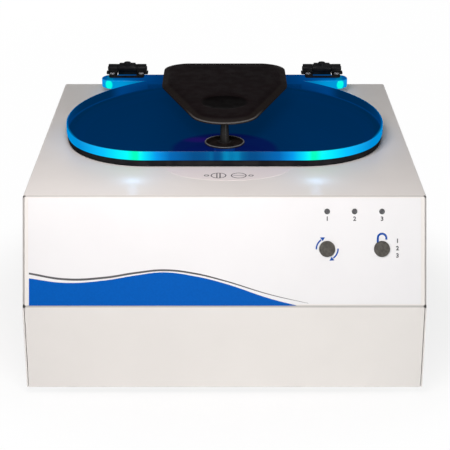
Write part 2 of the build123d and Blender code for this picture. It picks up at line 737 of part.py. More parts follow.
def motor_housing():
    """Cast can with a bearing seat at each end."""
    can = rod(MOTOR_RADIUS, 0, AXIS_Y, MOTOR_Z, MOTOR_TOP)
    can = fillet(can.edges().group_by(Axis.Z)[-1], MOTOR_ROUNDING)
    inside = MOTOR_RADIUS - MOTOR_WALL
    seat = BEARING_RADIUS + BEARING_SEAT_WALL
    can -= tube(inside, seat, 0, AXIS_Y, MOTOR_Z + MOTOR_WALL, MOTOR_TOP - MOTOR_WALL)
    low = MOTOR_Z + BEARING_FLOOR
    can -= rod(inside, 0, AXIS_Y, low + BEARING_HEIGHT, MOTOR_TOP - BEARING_HEIGHT)
    return can - rod(BEARING_RADIUS, 0, AXIS_Y, low, MOTOR_TOP + THROUGH)


def motor_bearings():
    made = []
    for z in (MOTOR_Z + BEARING_FLOOR, MOTOR_TOP - BEARING_HEIGHT):
        ring = tube(BEARING_RADIUS, SHAFT_RADIUS + RUNNING, 0, AXIS_Y, z, z + BEARING_HEIGHT)
        made.append(ring)
    return group(made)


def motor_stator():
    low = MOTOR_MIDDLE - STATOR_HEIGHT / 2
    return tube(MOTOR_RADIUS - MOTOR_WALL, STATOR_INNER, 0, AXIS_Y, low, low + STATOR_HEIGHT)


def motor_armature():
    half = STATOR_HEIGHT / 2 - ARMATURE_INSET
    outer = STATOR_INNER - AIR_GAP
    return tube(outer, SHAFT_RADIUS, 0, AXIS_Y, MOTOR_MIDDLE - half, MOTOR_MIDDLE + half)


def motor_plate():
    low = FLOOR_TOP + ISOLATOR_HEIGHT
    half = MOTOR_PLATE_HALF
    plate = block(-half, half, AXIS_Y - half, AXIS_Y + half, low, low + MOTOR_PLATE)
    return fillet(plate.edges().filter_by(Axis.Z), MOTOR_PLATE_CORNER)


def motor_isolators():
    made = []
    for x in (-ISOLATOR_SPREAD, ISOLATOR_SPREAD):
        for y in (-ISOLATOR_SPREAD, ISOLATOR_SPREAD):
            bush = rod(ISOLATOR_RADIUS, x, AXIS_Y + y, FLOOR_TOP, FLOOR_TOP + ISOLATOR_HEIGHT)
            made.append(bush)
    return group(made)


def motor_shaft():
    """Shaft from the lower bearing up to the thread for the rotor nut."""
    low = MOTOR_Z + BEARING_FLOOR + SHAFT_LIFT
    return rod(SHAFT_RADIUS, 0, AXIS_Y, low, DISC_TOP + NUT_HEIGHT - NUT_ROOF)


def rotor_nut():
    """Lobed hand nut that clamps the rotor on its shaft."""
    top = DISC_TOP + NUT_HEIGHT
    knob = rod(NUT_RADIUS, 0, 0, DISC_TOP, top)
    scallop = rod(LOBE_RADIUS, LOBE_REACH, 0, DISC_TOP - THROUGH, top + THROUGH)
    for lobe in range(NUT_LOBES):
        knob -= Rot(0, 0, lobe * 360 / NUT_LOBES) * scallop
    knob = fillet(knob.edges().group_by(Axis.Z)[-1], NUT_EDGE)
    knob -= rod(SHAFT_RADIUS, 0, 0, DISC_TOP - THROUGH, top - NUT_ROOF)
    return Pos(0, AXIS_Y, 0) * knob


def bucket_turn(index):
    """Carries a shape made at +X out to bucket number index."""
    return Pos(0, AXIS_Y, 0) * Rot(0, 0, index * 360 / BUCKET_COUNT)


def rotor_spider():
    """Disc with four pockets, lugs for the trunnion pins, ribs and a long hub."""
    under = DISC_TOP - DISC_THICKNESS
    swing = sqrt((BUCKET_THICKNESS / 2) ** 2 + BUCKET_ABOVE_PIN**2) + SWING_ROOM
    inner = TRUNNION_REACH - swing
    outer = DISC_RADIUS + THROUGH
    turns = [Rot(0, 0, index * 360 / BUCKET_COUNT) for index in range(BUCKET_COUNT)]
    half_turn = Rot(0, 0, 180 / BUCKET_COUNT)
    cut = block(inner, outer, -POCKET_HALF, POCKET_HALF, under - THROUGH, DISC_TOP + THROUGH)
    cut = fillet(cut.edges().filter_by(Axis.Z).group_by(Axis.X)[0], POCKET_CORNER)
    lug_x = (TRUNNION_REACH - LUG_HALF_WIDTH, TRUNNION_REACH + LUG_HALF_WIDTH)
    lug_z = (TRUNNION_Z - LUG_BELOW, under)
    rib = block(0, RIB_REACH, -RIB_WIDTH / 2, RIB_WIDTH / 2, under - RIB_HEIGHT, under)
    bore = Rot(90, 0, 0) * Cylinder(TRUNNION_RADIUS, 2 * PIN_REACH)
    body = rod(DISC_RADIUS, 0, 0, under, DISC_TOP)
    for turn in turns:
        body -= turn * cut
    for turn in turns:
        for side in (-1, 1):
            lug_y = sorted((side * POCKET_HALF, side * (POCKET_HALF + LUG_THICKNESS)))
            body += turn * block(*lug_x, *lug_y, *lug_z)
        body += turn * half_turn * rib
    body += rod(HUB_RADIUS, 0, 0, HUB_LOW, DISC_TOP)
    body -= rod(SHAFT_RADIUS, 0, 0, HUB_LOW - THROUGH, DISC_TOP + THROUGH)
    for turn in turns:
        body -= turn * Pos(TRUNNION_REACH, 0, TRUNNION_Z) * bore
    return Pos(0, AXIS_Y, 0) * body


def trunnion_pins():
    """Two pins for each bucket, pressed in the lugs and reaching into the bucket's sides."""
    made = []
    near = BUCKET_WIDTH / 2 - PIN_IN_BUCKET
    pin = Rot(90, 0, 0) * Cylinder(TRUNNION_RADIUS, PIN_REACH - near)
    for index in range(BUCKET_COUNT):
        for side in (-1, 1):
            middle = side * (near + PIN_REACH) / 2
            made.append(bucket_turn(index) * Pos(TRUNNION_REACH, middle, TRUNNION_Z) * pin)
    return group(made)


def socket_places():
    """Tube sockets in one bucket, from its middle: outwards and across."""
    places = []
    for row in (-0.5, 0.5):
        for column in range(SOCKET_COLUMNS):
            across = (column - (SOCKET_COLUMNS - 1) / 2) * SOCKET_PITCH
            places.append((TRUNNION_REACH + row * SOCKET_ROW_PITCH, across))
    return places


def bucket(index):
    """A block of six tube sockets that hangs on its two pins."""
    top = DISC_TOP
    out = BUCKET_THICKNESS / 2
    low = top - BUCKET_HEIGHT
    half = BUCKET_WIDTH / 2
    body = block(TRUNNION_REACH - out, TRUNNION_REACH + out, -half, half, low, top)
    body = fillet(body.edges().filter_by(Axis.Z), BUCKET_CORNER)
    body = chamfer(body.edges().group_by(Axis.Z)[0], BUCKET_EDGE)
    for x, y in socket_places():
        body -= rod(SOCKET_RADIUS, x, y, top - SOCKET_DEPTH, top + THROUGH)
    for side in (-1, 1):
        depth = 2 * (PIN_IN_BUCKET + PIN_END_ROOM)
        bore = Rot(90, 0, 0) * Cylinder(TRUNNION_RADIUS + RUNNING, depth)
        body -= Pos(TRUNNION_REACH, side * half, TRUNNION_Z) * bore
    return bucket_turn(index) * body


def cushions(index):
    """Rubber pads at the bottom of one bucket's sockets."""
    low = DISC_TOP - SOCKET_DEPTH
    made = []
    for x, y in socket_places():
        pad = rod(SOCKET_RADIUS - GAP, x, y, low, low + CUSHION_THICKNESS)
        made.append(bucket_turn(index) * pad)
    return group(made)


def lid_outline(inset):
    """The lid from above: a circle at the back, two wide corners and a straight front edge."""
    radius = LID_RADIUS - inset
    front = LID_FRONT - inset
    corner = LID_CORNER - inset
    centre_y = -(front - corner)
    centre_x = sqrt((radius - corner) ** 2 - centre_y**2)
    end = atan2(centre_y, centre_x)
    middle = (end - pi / 2) / 2
    knee = (centre_x + corner * cos(middle), centre_y + corner * sin(middle))
    join = (radius * cos(end), radius * sin(end))
    edge = make_face(
        [
            Line((-centre_x, -front), (centre_x, -front)),
            ThreePointArc((centre_x, -front), knee, join),
            ThreePointArc(join, (0, radius), (-join[0], join[1])),
            ThreePointArc((-join[0], join[1]), (-knee[0], knee[1]), (-centre_x, -front)),
        ]
    )
    return Pos(0, AXIS_Y) * edge


def lid_led_places():
    """Lamps in the lid: two behind its front edge, two in the ears."""
    ear_x = EAR_HALF_WIDTH - EAR_DEPTH / 3
    ear_y = EAR_SETBACK - EAR_DEPTH / 2 + 2 * LED_RADIUS
    spots = []
    for side in (-1, 1):
        spots.append((side * FRONT_LED_X, AXIS_Y - LID_FRONT + FRONT_LED_EDGE))
        spots.append((side * ear_x, AXIS_Y + ear_y))
    return spots


def lid_panel():
    """Thick acrylic lid with a bar across its back that carries the hinges."""
    bar = Pos(0, AXIS_Y + EAR_SETBACK) * SlotOverall(2 * EAR_HALF_WIDTH, EAR_DEPTH)
    panel = Part()
    for outline in (lid_outline(0), bar):
        slab = extrude(Pos(0, 0, LID_UNDER) * outline, LID_THICKNESS)
        rims = slab.edges().group_by(Axis.Z)
        panel += chamfer(rims[0] + rims[-1], LID_EDGE)
    panel -= rod(WELL_SLEEVE + GAP, 0, STRIKER_Y, LID_UNDER - THROUGH, LID_TOP + THROUGH)
    for x, y in rear_post_places():
        panel -= rod(POST_SCREW[0] + HOLE_SLACK, x, y, LID_UNDER - THROUGH, LID_TOP + THROUGH)
    for x, y in leaf_screw_places():
        panel -= rod(LEAF_SCREW[0] + HOLE_SLACK, x, y, LID_UNDER + BLIND_FLOOR, LID_TOP + THROUGH)
    for x, y in lid_led_places():
        panel -= rod(LED_RADIUS, x, y, LID_UNDER - THROUGH, LID_UNDER + LED_HEIGHT)
    return panel


def lid_leds():
    made = []
    for x, y in lid_led_places():
        made.append(rod(LED_RADIUS, x, y, LID_UNDER, LID_UNDER + LED_HEIGHT))
    return group(made)


def lid_gasket():
    """Rubber frame under the lid that closes on the deck."""
    frame = lid_outline(GASKET_INSET) - lid_outline(GASKET_INSET + GASKET_WIDTH)
    seal = extrude(Pos(0, 0, LID_UNDER) * frame, -GASKET_HEIGHT)
    for x, y in lid_led_places():
        seal -= rod(LED_RADIUS + GAP, x, y, LID_UNDER - SHEET, LID_UNDER + SHEET)
    return seal


def hand_outline():
    """The hand plate from above: round tip in front, flared and then straight sides, straight back."""
    tip_y = HAND_TIP_RADIUS - HAND_TIP
    flare = radians(HAND_FLARE)
    start = (HAND_TIP_RADIUS * cos(flare), tip_y - HAND_TIP_RADIUS * sin(flare))
    shoulder = (HAND_HALF_WIDTH, start[1] + (HAND_HALF_WIDTH - start[0]) / tan(flare))
    corner = (HAND_HALF_WIDTH, HAND_BACK)
    right = [Line(start, shoulder), Line(shoulder, corner), Line(corner, (0, HAND_BACK))]
    left = [mirror(part, Plane.YZ) for part in right]
    tip = ThreePointArc((-start[0], start[1]), (0, -HAND_TIP), start)
    face = make_face([tip] + right + left)
    rear = face.vertices().group_by(Axis.Y)[-1].sort_by(Axis.X)
    face = fillet([rear[0], rear[-1]], HAND_CORNER)
    shoulders = face.vertices().filter_by(lambda point: abs(point.Y - shoulder[1]) < GAP)
    return fillet(shoulders, HAND_SHOULDER)


def hand_plate():
    """Moulded plate raised over the lid: thin rim, broad bevel, flat crown with a dish."""
    outline = hand_outline()
    crown_low = HAND_UNDER + HAND_RIM
    top = crown_low + HAND_CROWN
    lean = degrees(atan2(HAND_BEVEL, HAND_CROWN))
    body = extrude(Pos(0, 0, HAND_UNDER) * outline, HAND_RIM)
    body += extrude(Pos(0, 0, crown_low) * outline, HAND_CROWN, taper=lean)
    ball = (DISH_RADIUS**2 + DISH_DEPTH**2) / (2 * DISH_DEPTH)
    body -= Pos(0, DISH_SETBACK, top - DISH_DEPTH + ball) * Sphere(ball)
    return Pos(0, AXIS_Y, 0) * body


def rear_post_places():
    return [(-POST_X, AXIS_Y + POST_Y), (POST_X, AXIS_Y + POST_Y)]


def rear_posts():
    """Two pillars under the back of the hand plate, bored for screws from below."""
    made = []
    for x, y in rear_post_places():
        post = rod(POST_RADIUS, x, y, LID_TOP, HAND_UNDER)
        made.append(post - rod(POST_SCREW[0], x, y, LID_TOP - THROUGH, LID_TOP + HAND_GAP / 2))
    return group(made)


def post_screws():
    made = []
    reach = LID_THICKNESS + HAND_GAP / 2
    for x, y in rear_post_places():
        made.append(Pos(x, y, LID_UNDER) * Rot(180, 0, 0) * screw(POST_SCREW, reach))
    return group(made)


def striker_post():
    """Front post of the hand plate, drawn out below the lid into the lock's grooved striker."""
    groove_low = BOLT_Z - GROOVE_HEIGHT / 2
    groove_high = BOLT_Z + GROOVE_HEIGHT / 2
    nose = groove_low - STRIKER_NOSE
    post = rod(STRIKER_RADIUS, 0, STRIKER_Y, groove_high, LID_TOP + WELL_HEIGHT)
    taper_low = LID_TOP + WELL_HEIGHT
    middle = (taper_low + HAND_UNDER) / 2
    stem = Cone(STRIKER_RADIUS, STRIKER_TOP_RADIUS, HAND_UNDER - taper_low)
    post += Pos(0, STRIKER_Y, middle) * stem
    post += rod(GROOVE_RADIUS, 0, STRIKER_Y, groove_low, groove_high)
    head = rod(STRIKER_RADIUS, 0, STRIKER_Y, nose, groove_low)
    return post + chamfer(head.edges().group_by(Axis.Z)[0], STRIKER_NOSE / 2)


def well_ring():
    """Round seat in the lid round the striker post, with a raised lip and a sleeve."""
    seat = rod(WELL_RADIUS, 0, STRIKER_Y, LID_TOP, LID_TOP + WELL_HEIGHT)
    seat = chamfer(seat.edges().group_by(Axis.Z)[-1], WELL_EDGE)
    dish_low = LID_TOP + WELL_HEIGHT - WELL_DISH
    seat -= rod(WELL_RADIUS - WELL_LIP, 0, STRIKER_Y, dish_low, LID_TOP + WELL_HEIGHT + THROUGH)
    seat += rod(WELL_SLEEVE, 0, STRIKER_Y, LID_UNDER, LID_TOP)
    return seat - rod(STRIKER_RADIUS, 0, STRIKER_Y, LID_UNDER - THROUGH, LID_TOP + WELL_HEIGHT + THROUGH)


def latch_housing():
    """Lock body under the deck's tongue, with a slot for the bolt and a shelf for the solenoid."""
    half = LOCK_WIDTH / 2
    back = STRIKER_Y + LOCK_BACK
    front = AXIS_Y - LOCK_FRONT
    body = block(-half, half, front, back, LOCK_UNDER, DECK_UNDER)
    body = fillet(body.edges().filter_by(Axis.Z).group_by(Axis.Y)[-1], LOCK_CORNER)
    shelf_front = AXIS_Y - SOLENOID_FRONT
    body += block(-half, half, shelf_front, front, DECK_UNDER - LOCK_PLATE, DECK_UNDER)
    wide = BOLT_WIDTH / 2 + GAP
    high = BOLT_THICKNESS / 2 + GAP
    slot_back = STRIKER_Y + BOLT_TRAVEL
    body -= block(-wide, wide, front - THROUGH, slot_back, BOLT_Z - high, BOLT_Z + high)
    return body - rod(STRIKER_BORE, 0, STRIKER_Y, LOCK_UNDER - THROUGH, DECK_UNDER + THROUGH)


def lock_bolt():
    """Forked slide bar, drawn at rest so that the striker can leave."""
    half = BOLT_WIDTH / 2
    low = BOLT_Z - BOLT_THICKNESS / 2
    high = BOLT_Z + BOLT_THICKNESS / 2
    bar = block(-half, half, PLUNGER_FRONT, BOLT_TIP, low, high)
    fork = GROOVE_RADIUS + BOLT_TIP_GAP
    notch = block(-fork, fork, BOLT_TIP - FORK_DEPTH, BOLT_TIP + THROUGH, low - THROUGH, high + THROUGH)
    return bar - notch


def lock_plunger():
    """Steel core that pushes the bolt."""
    length = SOLENOID_LENGTH - 2 * PLUNGER_GAP
    place = Pos(0, PLUNGER_FRONT - length / 2, BOLT_Z) * Rot(90, 0, 0)
    return place * Cylinder(PLUNGER_RADIUS, length)


def solenoid():
    """Coil in its frame, hung under the lock's shelf."""
    top = DECK_UNDER - LOCK_PLATE
    back = PLUNGER_FRONT - PLUNGER_GAP
    front = back - SOLENOID_LENGTH
    half = SOLENOID_WIDTH / 2
    body = block(-half, half, front, back, top - SOLENOID_HEIGHT, top)
    bore = Pos(0, back, BOLT_Z) * Rot(90, 0, 0)
    return body - bore * Cylinder(PLUNGER_RADIUS + GAP, 2 * (SOLENOID_LENGTH - PLUNGER_GAP))


def hinge_sides():
    return (-HINGE_X, HINGE_X)


def knuckle(x, low, high, radius):
    """A cylinder along the hinge axis between two distances from a hinge's middle."""
    place = Pos(x + (low + high) / 2, HINGE_Y, HINGE_Z) * Rot(0, 90, 0)
    return place * Cylinder(radius, high - low)


def hinge_bases():
    """Brackets on the deck, each with the middle knuckle and its torque cap."""
    made = []
    half = KNUCKLE_LENGTH / 2
    inner = CENTRE_KNUCKLE / 2
    front = HINGE_Y - BASE_FRONT
    back = HINGE_Y + BASE_BACK
    for x in hinge_sides():
        foot = block(x - half, x + half, front, back, DECK_Z, DECK_Z + BASE_FOOT)
        foot = fillet(foot.edges().filter_by(Axis.Z), BASE_CORNER)
        web_y = (HINGE_Y - WEB_HALF, HINGE_Y + WEB_HALF)
        web = block(x - inner, x + inner, *web_y, DECK_Z + BASE_FOOT, HINGE_Z)
        base = foot + web + knuckle(x, -inner, inner, KNUCKLE_RADIUS)
        crest = HINGE_Z + KNUCKLE_RADIUS
        seat = inner - 2 * CAP_SEAT
        base += block(x - seat, x + seat, *web_y, HINGE_Z, crest + CAP_SEAT)
        cap = rod(TORQUE_CAP_RADIUS, x, HINGE_Y, HINGE_Z, crest + TORQUE_CAP_HEIGHT)
        base += fillet(cap.edges().group_by(Axis.Z)[-1], TORQUE_CAP_EDGE)
        base -= knuckle(x, -half, half, HINGE_PIN_RADIUS + RUNNING)
        hole = CASE_SCREW[0] + HOLE_SLACK
        y = HINGE_Y - BASE_SCREW_Y
        for dx in (-LEAF_SCREW_X, LEAF_SCREW_X):
            base -= rod(hole, x + dx, y, DECK_Z - THROUGH, DECK_Z + BASE_FOOT + THROUGH)
        made.append(base)
    return group(made)


def hinge_leaves():
    """Forked leaves on the lid, each with the two outer knuckles."""
    made = []
    half = KNUCKLE_LENGTH / 2
    inner = CENTRE_KNUCKLE / 2 + GAP
    top = LID_TOP + LEAF_THICKNESS
    front = HINGE_Y - LEAF_DEPTH
    for x in hinge_sides():
        wing = LEAF_WIDTH / 2
        tongue = wing - LEAF_STEP
        leaf = block(x - tongue, x + tongue, front, HINGE_Y, LID_TOP, top)
        leaf = fillet(leaf.edges().filter_by(Axis.Z).group_by(Axis.Y)[0], LEAF_CORNER)
        wings = block(x - wing, x + wing, HINGE_Y - WING_DEPTH, HINGE_Y, LID_TOP, top)
        leaf += fillet(wings.edges().filter_by(Axis.Z).group_by(Axis.Y)[0], WING_CORNER)
        leaf += knuckle(x, -half, half, KNUCKLE_RADIUS)
        leaf += block(x - half, x + half, HINGE_Y - KNUCKLE_RADIUS, HINGE_Y, LID_TOP, HINGE_Z)
        leaf -= block(x - inner, x + inner, front + LEAF_BAR, REAR, DECK_Z, HINGE_Z + 2 * KNUCKLE_RADIUS)
        leaf -= knuckle(x, -half - THROUGH, half + THROUGH, HINGE_PIN_RADIUS)
        for dx in (-LEAF_SCREW_X, LEAF_SCREW_X):
            leaf -= rod(LEAF_SCREW[0] + HOLE_SLACK, x + dx, HINGE_Y - LEAF_SCREW_Y, DECK_Z, top + THROUGH)
        made.append(leaf)
    return group(made)


def hinge_pins():
    half = KNUCKLE_LENGTH / 2 + HINGE_PIN_PROUD
    return group(knuckle(x, -half, half, HINGE_PIN_RADIUS) for x in hinge_sides())


def leaf_screw_places():
    y = HINGE_Y - LEAF_SCREW_Y
    return [(x + dx, y) for x in hinge_sides() for dx in (-LEAF_SCREW_X, LEAF_SCREW_X)]


def deck_screw_places():
    y = HINGE_Y - BASE_SCREW_Y
    return [(x + dx, y) for x in hinge_sides() for dx in (-LEAF_SCREW_X, LEAF_SCREW_X)]


def lid_hinge_screws():
    seat = LID_TOP + LEAF_THICKNESS
    reach = LEAF_THICKNESS + LID_THICKNESS - BLIND_FLOOR - HEAD_ROOM
    return group(Pos(x, y, seat) * screw(LEAF_SCREW, reach) for x, y in leaf_screw_places())


def inlet_socket():
    """Mains inlet and fuse holder in one flanged body."""
    wide = INLET_WIDTH / 2
    high = INLET_HEIGHT / 2
    margin = INLET_FLANGE_MARGIN
    body = back_block(INLET_X, MAINS_Z, wide, high, MAINS_FACE - INLET_DEPTH, REAR_FACE)
    flange = back_block(INLET_X, MAINS_Z, wide + margin, high + margin, REAR_FACE, MAINS_FACE)
    body += fillet(flange.edges().filter_by(Axis.Y), INLET_CORNER)
    wide = SOCKET_OPENING_WIDTH / 2
    high = SOCKET_OPENING_HEIGHT / 2
    bottom = MAINS_FACE - SOCKET_OPENING_DEPTH
    mouth = back_block(INLET_X, SOCKET_Z, wide, high, bottom, MAINS_FACE + THROUGH)
    body -= chamfer(mouth.edges().filter_by(Axis.Y).group_by(Axis.Z)[-1], SOCKET_CHAMFER)
    wide = DRAWER_WIDTH / 2 + GAP
    high = DRAWER_HEIGHT / 2 + GAP
    bottom = MAINS_FACE - DRAWER_DEPTH - GAP
    return body - back_block(INLET_X, DRAWER_Z, wide, high, bottom, MAINS_FACE + THROUGH)


def inlet_pins():
    """Two flat pins and an earth pin above them."""
    made = []
    floor = MAINS_FACE - SOCKET_OPENING_DEPTH
    for dx, dz in ((-PIN_PITCH / 2, -LINE_DOWN), (PIN_PITCH / 2, -LINE_DOWN), (0, EARTH_UP)):
        place = (INLET_X + dx, SOCKET_Z + dz, PIN_WIDTH / 2, PIN_HEIGHT / 2)
        made.append(back_block(*place, floor, floor + PIN_LENGTH))
    return group(made)


def fuse_drawer():
    """Drawer for two fuses, open at the top."""
    half = DRAWER_WIDTH / 2
    high = DRAWER_HEIGHT / 2
    bottom = MAINS_FACE - DRAWER_DEPTH
    drawer = back_block(INLET_X, DRAWER_Z, half, high, bottom, MAINS_FACE + DRAWER_PROUD)
    inside = half - DRAWER_WALL
    front = MAINS_FACE - DRAWER_FRONT
    tray = back_block(INLET_X, DRAWER_Z, inside, high, bottom + DRAWER_WALL, front)
    return drawer - Pos(0, 0, DRAWER_WALL) * tray


def power_switch():
    """Rocker switch housing with its flange on the back panel."""
    wide = ROCKER_WIDTH / 2 + SWITCH_WALL
    high = ROCKER_HEIGHT / 2 + SWITCH_WALL
    margin = SWITCH_MARGIN
    bottom = MAINS_FACE - SWITCH_DEPTH
    body = back_block(SWITCH_X, MAINS_Z, wide, high, bottom, REAR_FACE)
    flange = back_block(SWITCH_X, MAINS_Z, wide + margin, high + margin, REAR_FACE, MAINS_FACE)
    body += fillet(flange.edges().filter_by(Axis.Y), SWITCH_CORNER)
    wide = ROCKER_WIDTH / 2 + GAP
    high = ROCKER_HEIGHT / 2 + GAP
    body -= back_block(SWITCH_X, MAINS_Z, wide, high, bottom + SWITCH_WALL, MAINS_FACE + THROUGH)
    return body - rocker_pin(ROCKER_PIN_RADIUS + RUNNING, ROCKER_PIN_REACH + GAP)


def rocker_pin(radius, reach):
    """The rocker's pivot, reaching past both of its sides."""
    pin = Cylinder(radius, ROCKER_WIDTH + 2 * reach)
    return Pos(SWITCH_X, MAINS_FACE - ROCKER_PIVOT, MAINS_Z) * Rot(0, 90, 0) * pin


def switch_rocker():
    """Rocker with a hollow face, at rest tipped to its off side, and its pivot."""
    reach = ROCKER_HEIGHT / 2 - ROCKER_END
    crest = [(-reach, ROCKER_LOW), (-reach, ROCKER_HORN), (0, ROCKER_DIP), (reach, ROCKER_HORN)]
    tail = [(reach, ROCKER_LOW), (ROCKER_TAIL_HALF, -ROCKER_TAIL), (-ROCKER_TAIL_HALF, -ROCKER_TAIL)]
    profile = make_face(Polyline(*crest, *tail, close=True))
    pivot = (SWITCH_X, MAINS_FACE - ROCKER_PIVOT, MAINS_Z)
    side = Plane(origin=pivot, x_dir=(0, 0, 1), z_dir=(-1, 0, 0))
    wedge = extrude(side * Rot(0, 0, ROCKER_TILT) * profile, ROCKER_WIDTH / 2, both=True)
    return wedge + rocker_pin(ROCKER_PIN_RADIUS, ROCKER_PIN_REACH)


def power_board():
    """Mains board on four stand-offs beside the motor."""
    low = FLOOR_TOP + POWER_STAND
    half = POWER_BOARD_LENGTH / 2
    wide = POWER_BOARD_WIDTH / 2
    board = block(-half, half, -wide, wide, low, low + BOARD_THICKNESS)
    for x in (-half + STANDOFF_INSET, half - STANDOFF_INSET):
        for y in (-wide + STANDOFF_INSET, wide - STANDOFF_INSET):
            board += rod(STANDOFF_RADIUS, x, y, FLOOR_TOP, low)
    return Pos(POWER_BOARD_X, AXIS_Y, 0) * board


def power_parts():
    """Transformer and two capacitors on the power board."""
    low = FLOOR_TOP + POWER_STAND + BOARD_THICKNESS
    half = TRANSFORMER_HALF
    wide = TRANSFORMER_WIDE
    core = block(-half, half, -wide, wide, low, low + TRANSFORMER_HEIGHT)
    core = fillet(core.edges().filter_by(Axis.Z), CORE_CORNER)
    made = [Pos(TRANSFORMER_X, 0, 0) * core]
    for x in CAPACITOR_X:
        made.append(rod(CAPACITOR_RADIUS, x, 0, low, low + CAPACITOR_HEIGHT))
    return group(Pos(POWER_BOARD_X, AXIS_Y, 0) * piece for piece in made)


NODES = {
    "case_shell": case_shell(),
    "front_overlay": front_overlay(),
    "deck_label": deck_label(),
    "base_pan": base_pan(),
    "rear_panel": rear_panel(),
    "feet": feet(),
    "foot_screws": foot_screws(),
    "case_screws": case_screws(),
    "chamber_wall": chamber_wall(),
    "chamber_floor": chamber_floor(),
    "bowl_seal": bowl_seal(),
    "guard_ring": guard_ring(),
    "shaft_boot": shaft_boot(),
    "motor_housing": motor_housing(),
    "motor_stator": motor_stator(),
    "motor_bearings": motor_bearings(),
    "motor_plate": motor_plate(),
    "motor_isolators": motor_isolators(),
    "motor_shaft": motor_shaft(),
    "motor_armature": motor_armature(),
    "rotor_spider": rotor_spider(),
    "rotor_nut": rotor_nut(),
    "trunnion_pins": trunnion_pins(),
    "lid_panel": lid_panel(),
    "lid_gasket": lid_gasket(),
    "lid_leds": lid_leds(),
    "hand_plate": hand_plate(),
    "rear_posts": rear_posts(),
    "post_screws": post_screws(),
    "striker_post": striker_post(),
    "well_ring": well_ring(),
    "hinge_bases": hinge_bases(),
    "hinge_leaves": hinge_leaves(),
    "hinge_pins": hinge_pins(),
    "lid_hinge_screws": lid_hinge_screws(),
    "latch_housing": latch_housing(),
    "lock_bolt": lock_bolt(),
    "lock_plunger": lock_plunger(),
    "solenoid": solenoid(),
    "start_button": button(START_X),
    "unlock_button": button(UNLOCK_X),
    "button_switches": button_switches(),
    "indicator_leds": indicator_leds(),
    "control_board": control_board(),
    "board_standoffs": board_standoffs(),
    "inlet_socket": inlet_socket(),
    "inlet_pins": inlet_pins(),
    "fuse_drawer": fuse_drawer(),
    "power_switch": power_switch(),
    "switch_rocker": switch_rocker(),
    "power_board": power_board(),
    "power_parts": power_parts(),
}
for number in range(BUCKET_COUNT):
    NODES[f"bucket_{number + 1}"] = bucket(number)
    NODES[f"cushions_{number + 1}"] = cushions(number)

os.makedirs("parts", exist_ok=True)
for node_name, node_shape in NODES.items():
    export_step(node_shape, f"parts/{node_name}.step")
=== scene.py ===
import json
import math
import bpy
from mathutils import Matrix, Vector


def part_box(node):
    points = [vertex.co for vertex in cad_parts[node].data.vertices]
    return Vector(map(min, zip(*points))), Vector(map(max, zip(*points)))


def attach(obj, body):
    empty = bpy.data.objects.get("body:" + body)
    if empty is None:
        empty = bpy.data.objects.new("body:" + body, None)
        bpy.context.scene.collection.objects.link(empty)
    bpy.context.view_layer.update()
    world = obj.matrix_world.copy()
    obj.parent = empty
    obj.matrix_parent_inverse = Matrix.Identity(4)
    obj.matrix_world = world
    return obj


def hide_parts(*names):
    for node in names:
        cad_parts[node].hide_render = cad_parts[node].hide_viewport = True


bl_info = {
    "name": "Bench Centrifuge",
    "version": (1, 0, 0),
    "blender": (4, 5, 0),
    "location": "3D View > Sidebar > Centrifuge",
    "description": "Finishes the packed bench centrifuge and sets up its studio",
    "category": "Object",
}

import bmesh
import bpy
from mathutils import Matrix, Vector

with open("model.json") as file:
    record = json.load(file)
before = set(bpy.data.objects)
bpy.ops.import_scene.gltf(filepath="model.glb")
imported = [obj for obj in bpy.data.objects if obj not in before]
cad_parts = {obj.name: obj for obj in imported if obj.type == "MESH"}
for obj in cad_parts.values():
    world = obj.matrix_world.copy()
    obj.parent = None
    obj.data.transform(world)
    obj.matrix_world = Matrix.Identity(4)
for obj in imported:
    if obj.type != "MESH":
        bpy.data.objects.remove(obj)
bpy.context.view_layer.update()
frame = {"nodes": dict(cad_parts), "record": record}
RECORD = frame["record"]
BODY_OF = {node: body for body, nodes in RECORD["behaviour"]["bodies"].items() for node in nodes}

MM = 0.001
POLE = 0.01 * MM
MERGE = 0.025 * MM
FLAT = (1, 1, 0)
# Edges that turn by more degrees than this are sharp
SHARP = 35
UP = Vector((0, 0, 1))

# The sloped panel, as run and rise of its sheet, with its top edge at the front of the deck
PANEL_RUN = 45 * MM
PANEL_RISE = 113 * MM
SHELL_LOW, SHELL_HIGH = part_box("case_shell")
PANEL_TOP = Vector((0, SHELL_LOW.y + PANEL_RUN, SHELL_HIGH.z))
PANEL_FOOT = Vector((0, SHELL_LOW.y, SHELL_HIGH.z - PANEL_RISE))
PANEL_OUT = Vector((0, -PANEL_RISE, PANEL_RUN)).normalized()
PANEL_UP = Vector((0, PANEL_RUN, PANEL_RISE)).normalized()
FILM = 0.4 * MM

# A printed number's height, that height as a share of its type size, and how far its outline is thickened
DIGIT_HEIGHT = 4.5 * MM
DIGIT_SHARE = 0.7
DIGIT_BOLDNESS = 0.055

# Places on the panel: down from its top edge, and right of its middle for the printed steps
LAMPS_DOWN = 17.2 * MM
LAMP_NUMBERS_DOWN = 25.4 * MM
BUTTONS_DOWN = 58.4 * MM
STEPS_DOWN = (49.7 * MM, 57.8 * MM, 65.8 * MM)
STEPS_ACROSS = 190.0 * MM

# The lid, the depth of its hinge ears, and the hand cover
LID_LOW, LID_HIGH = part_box("lid_panel")
EAR_DEPTH = 31.4 * MM
COVER_LOW, COVER_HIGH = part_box("hand_plate")


def upright_axis(node):
    """The foot of the upright axis of a round CAD node that stands midway across."""
    low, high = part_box(node)
    return Vector((0, (low.y + high.y) / 2, 0))


AXIS = upright_axis("rotor_nut")
STRIKER = upright_axis("striker_post")
PALM_BEFORE_AXIS = 36 * MM


def colour_property(name, description, colour):
    """A linear RGB colour that a user can change."""
    return bpy.props.FloatVectorProperty(
        name=name, description=description, default=colour, subtype="COLOR", size=3, min=0, max=1
    )


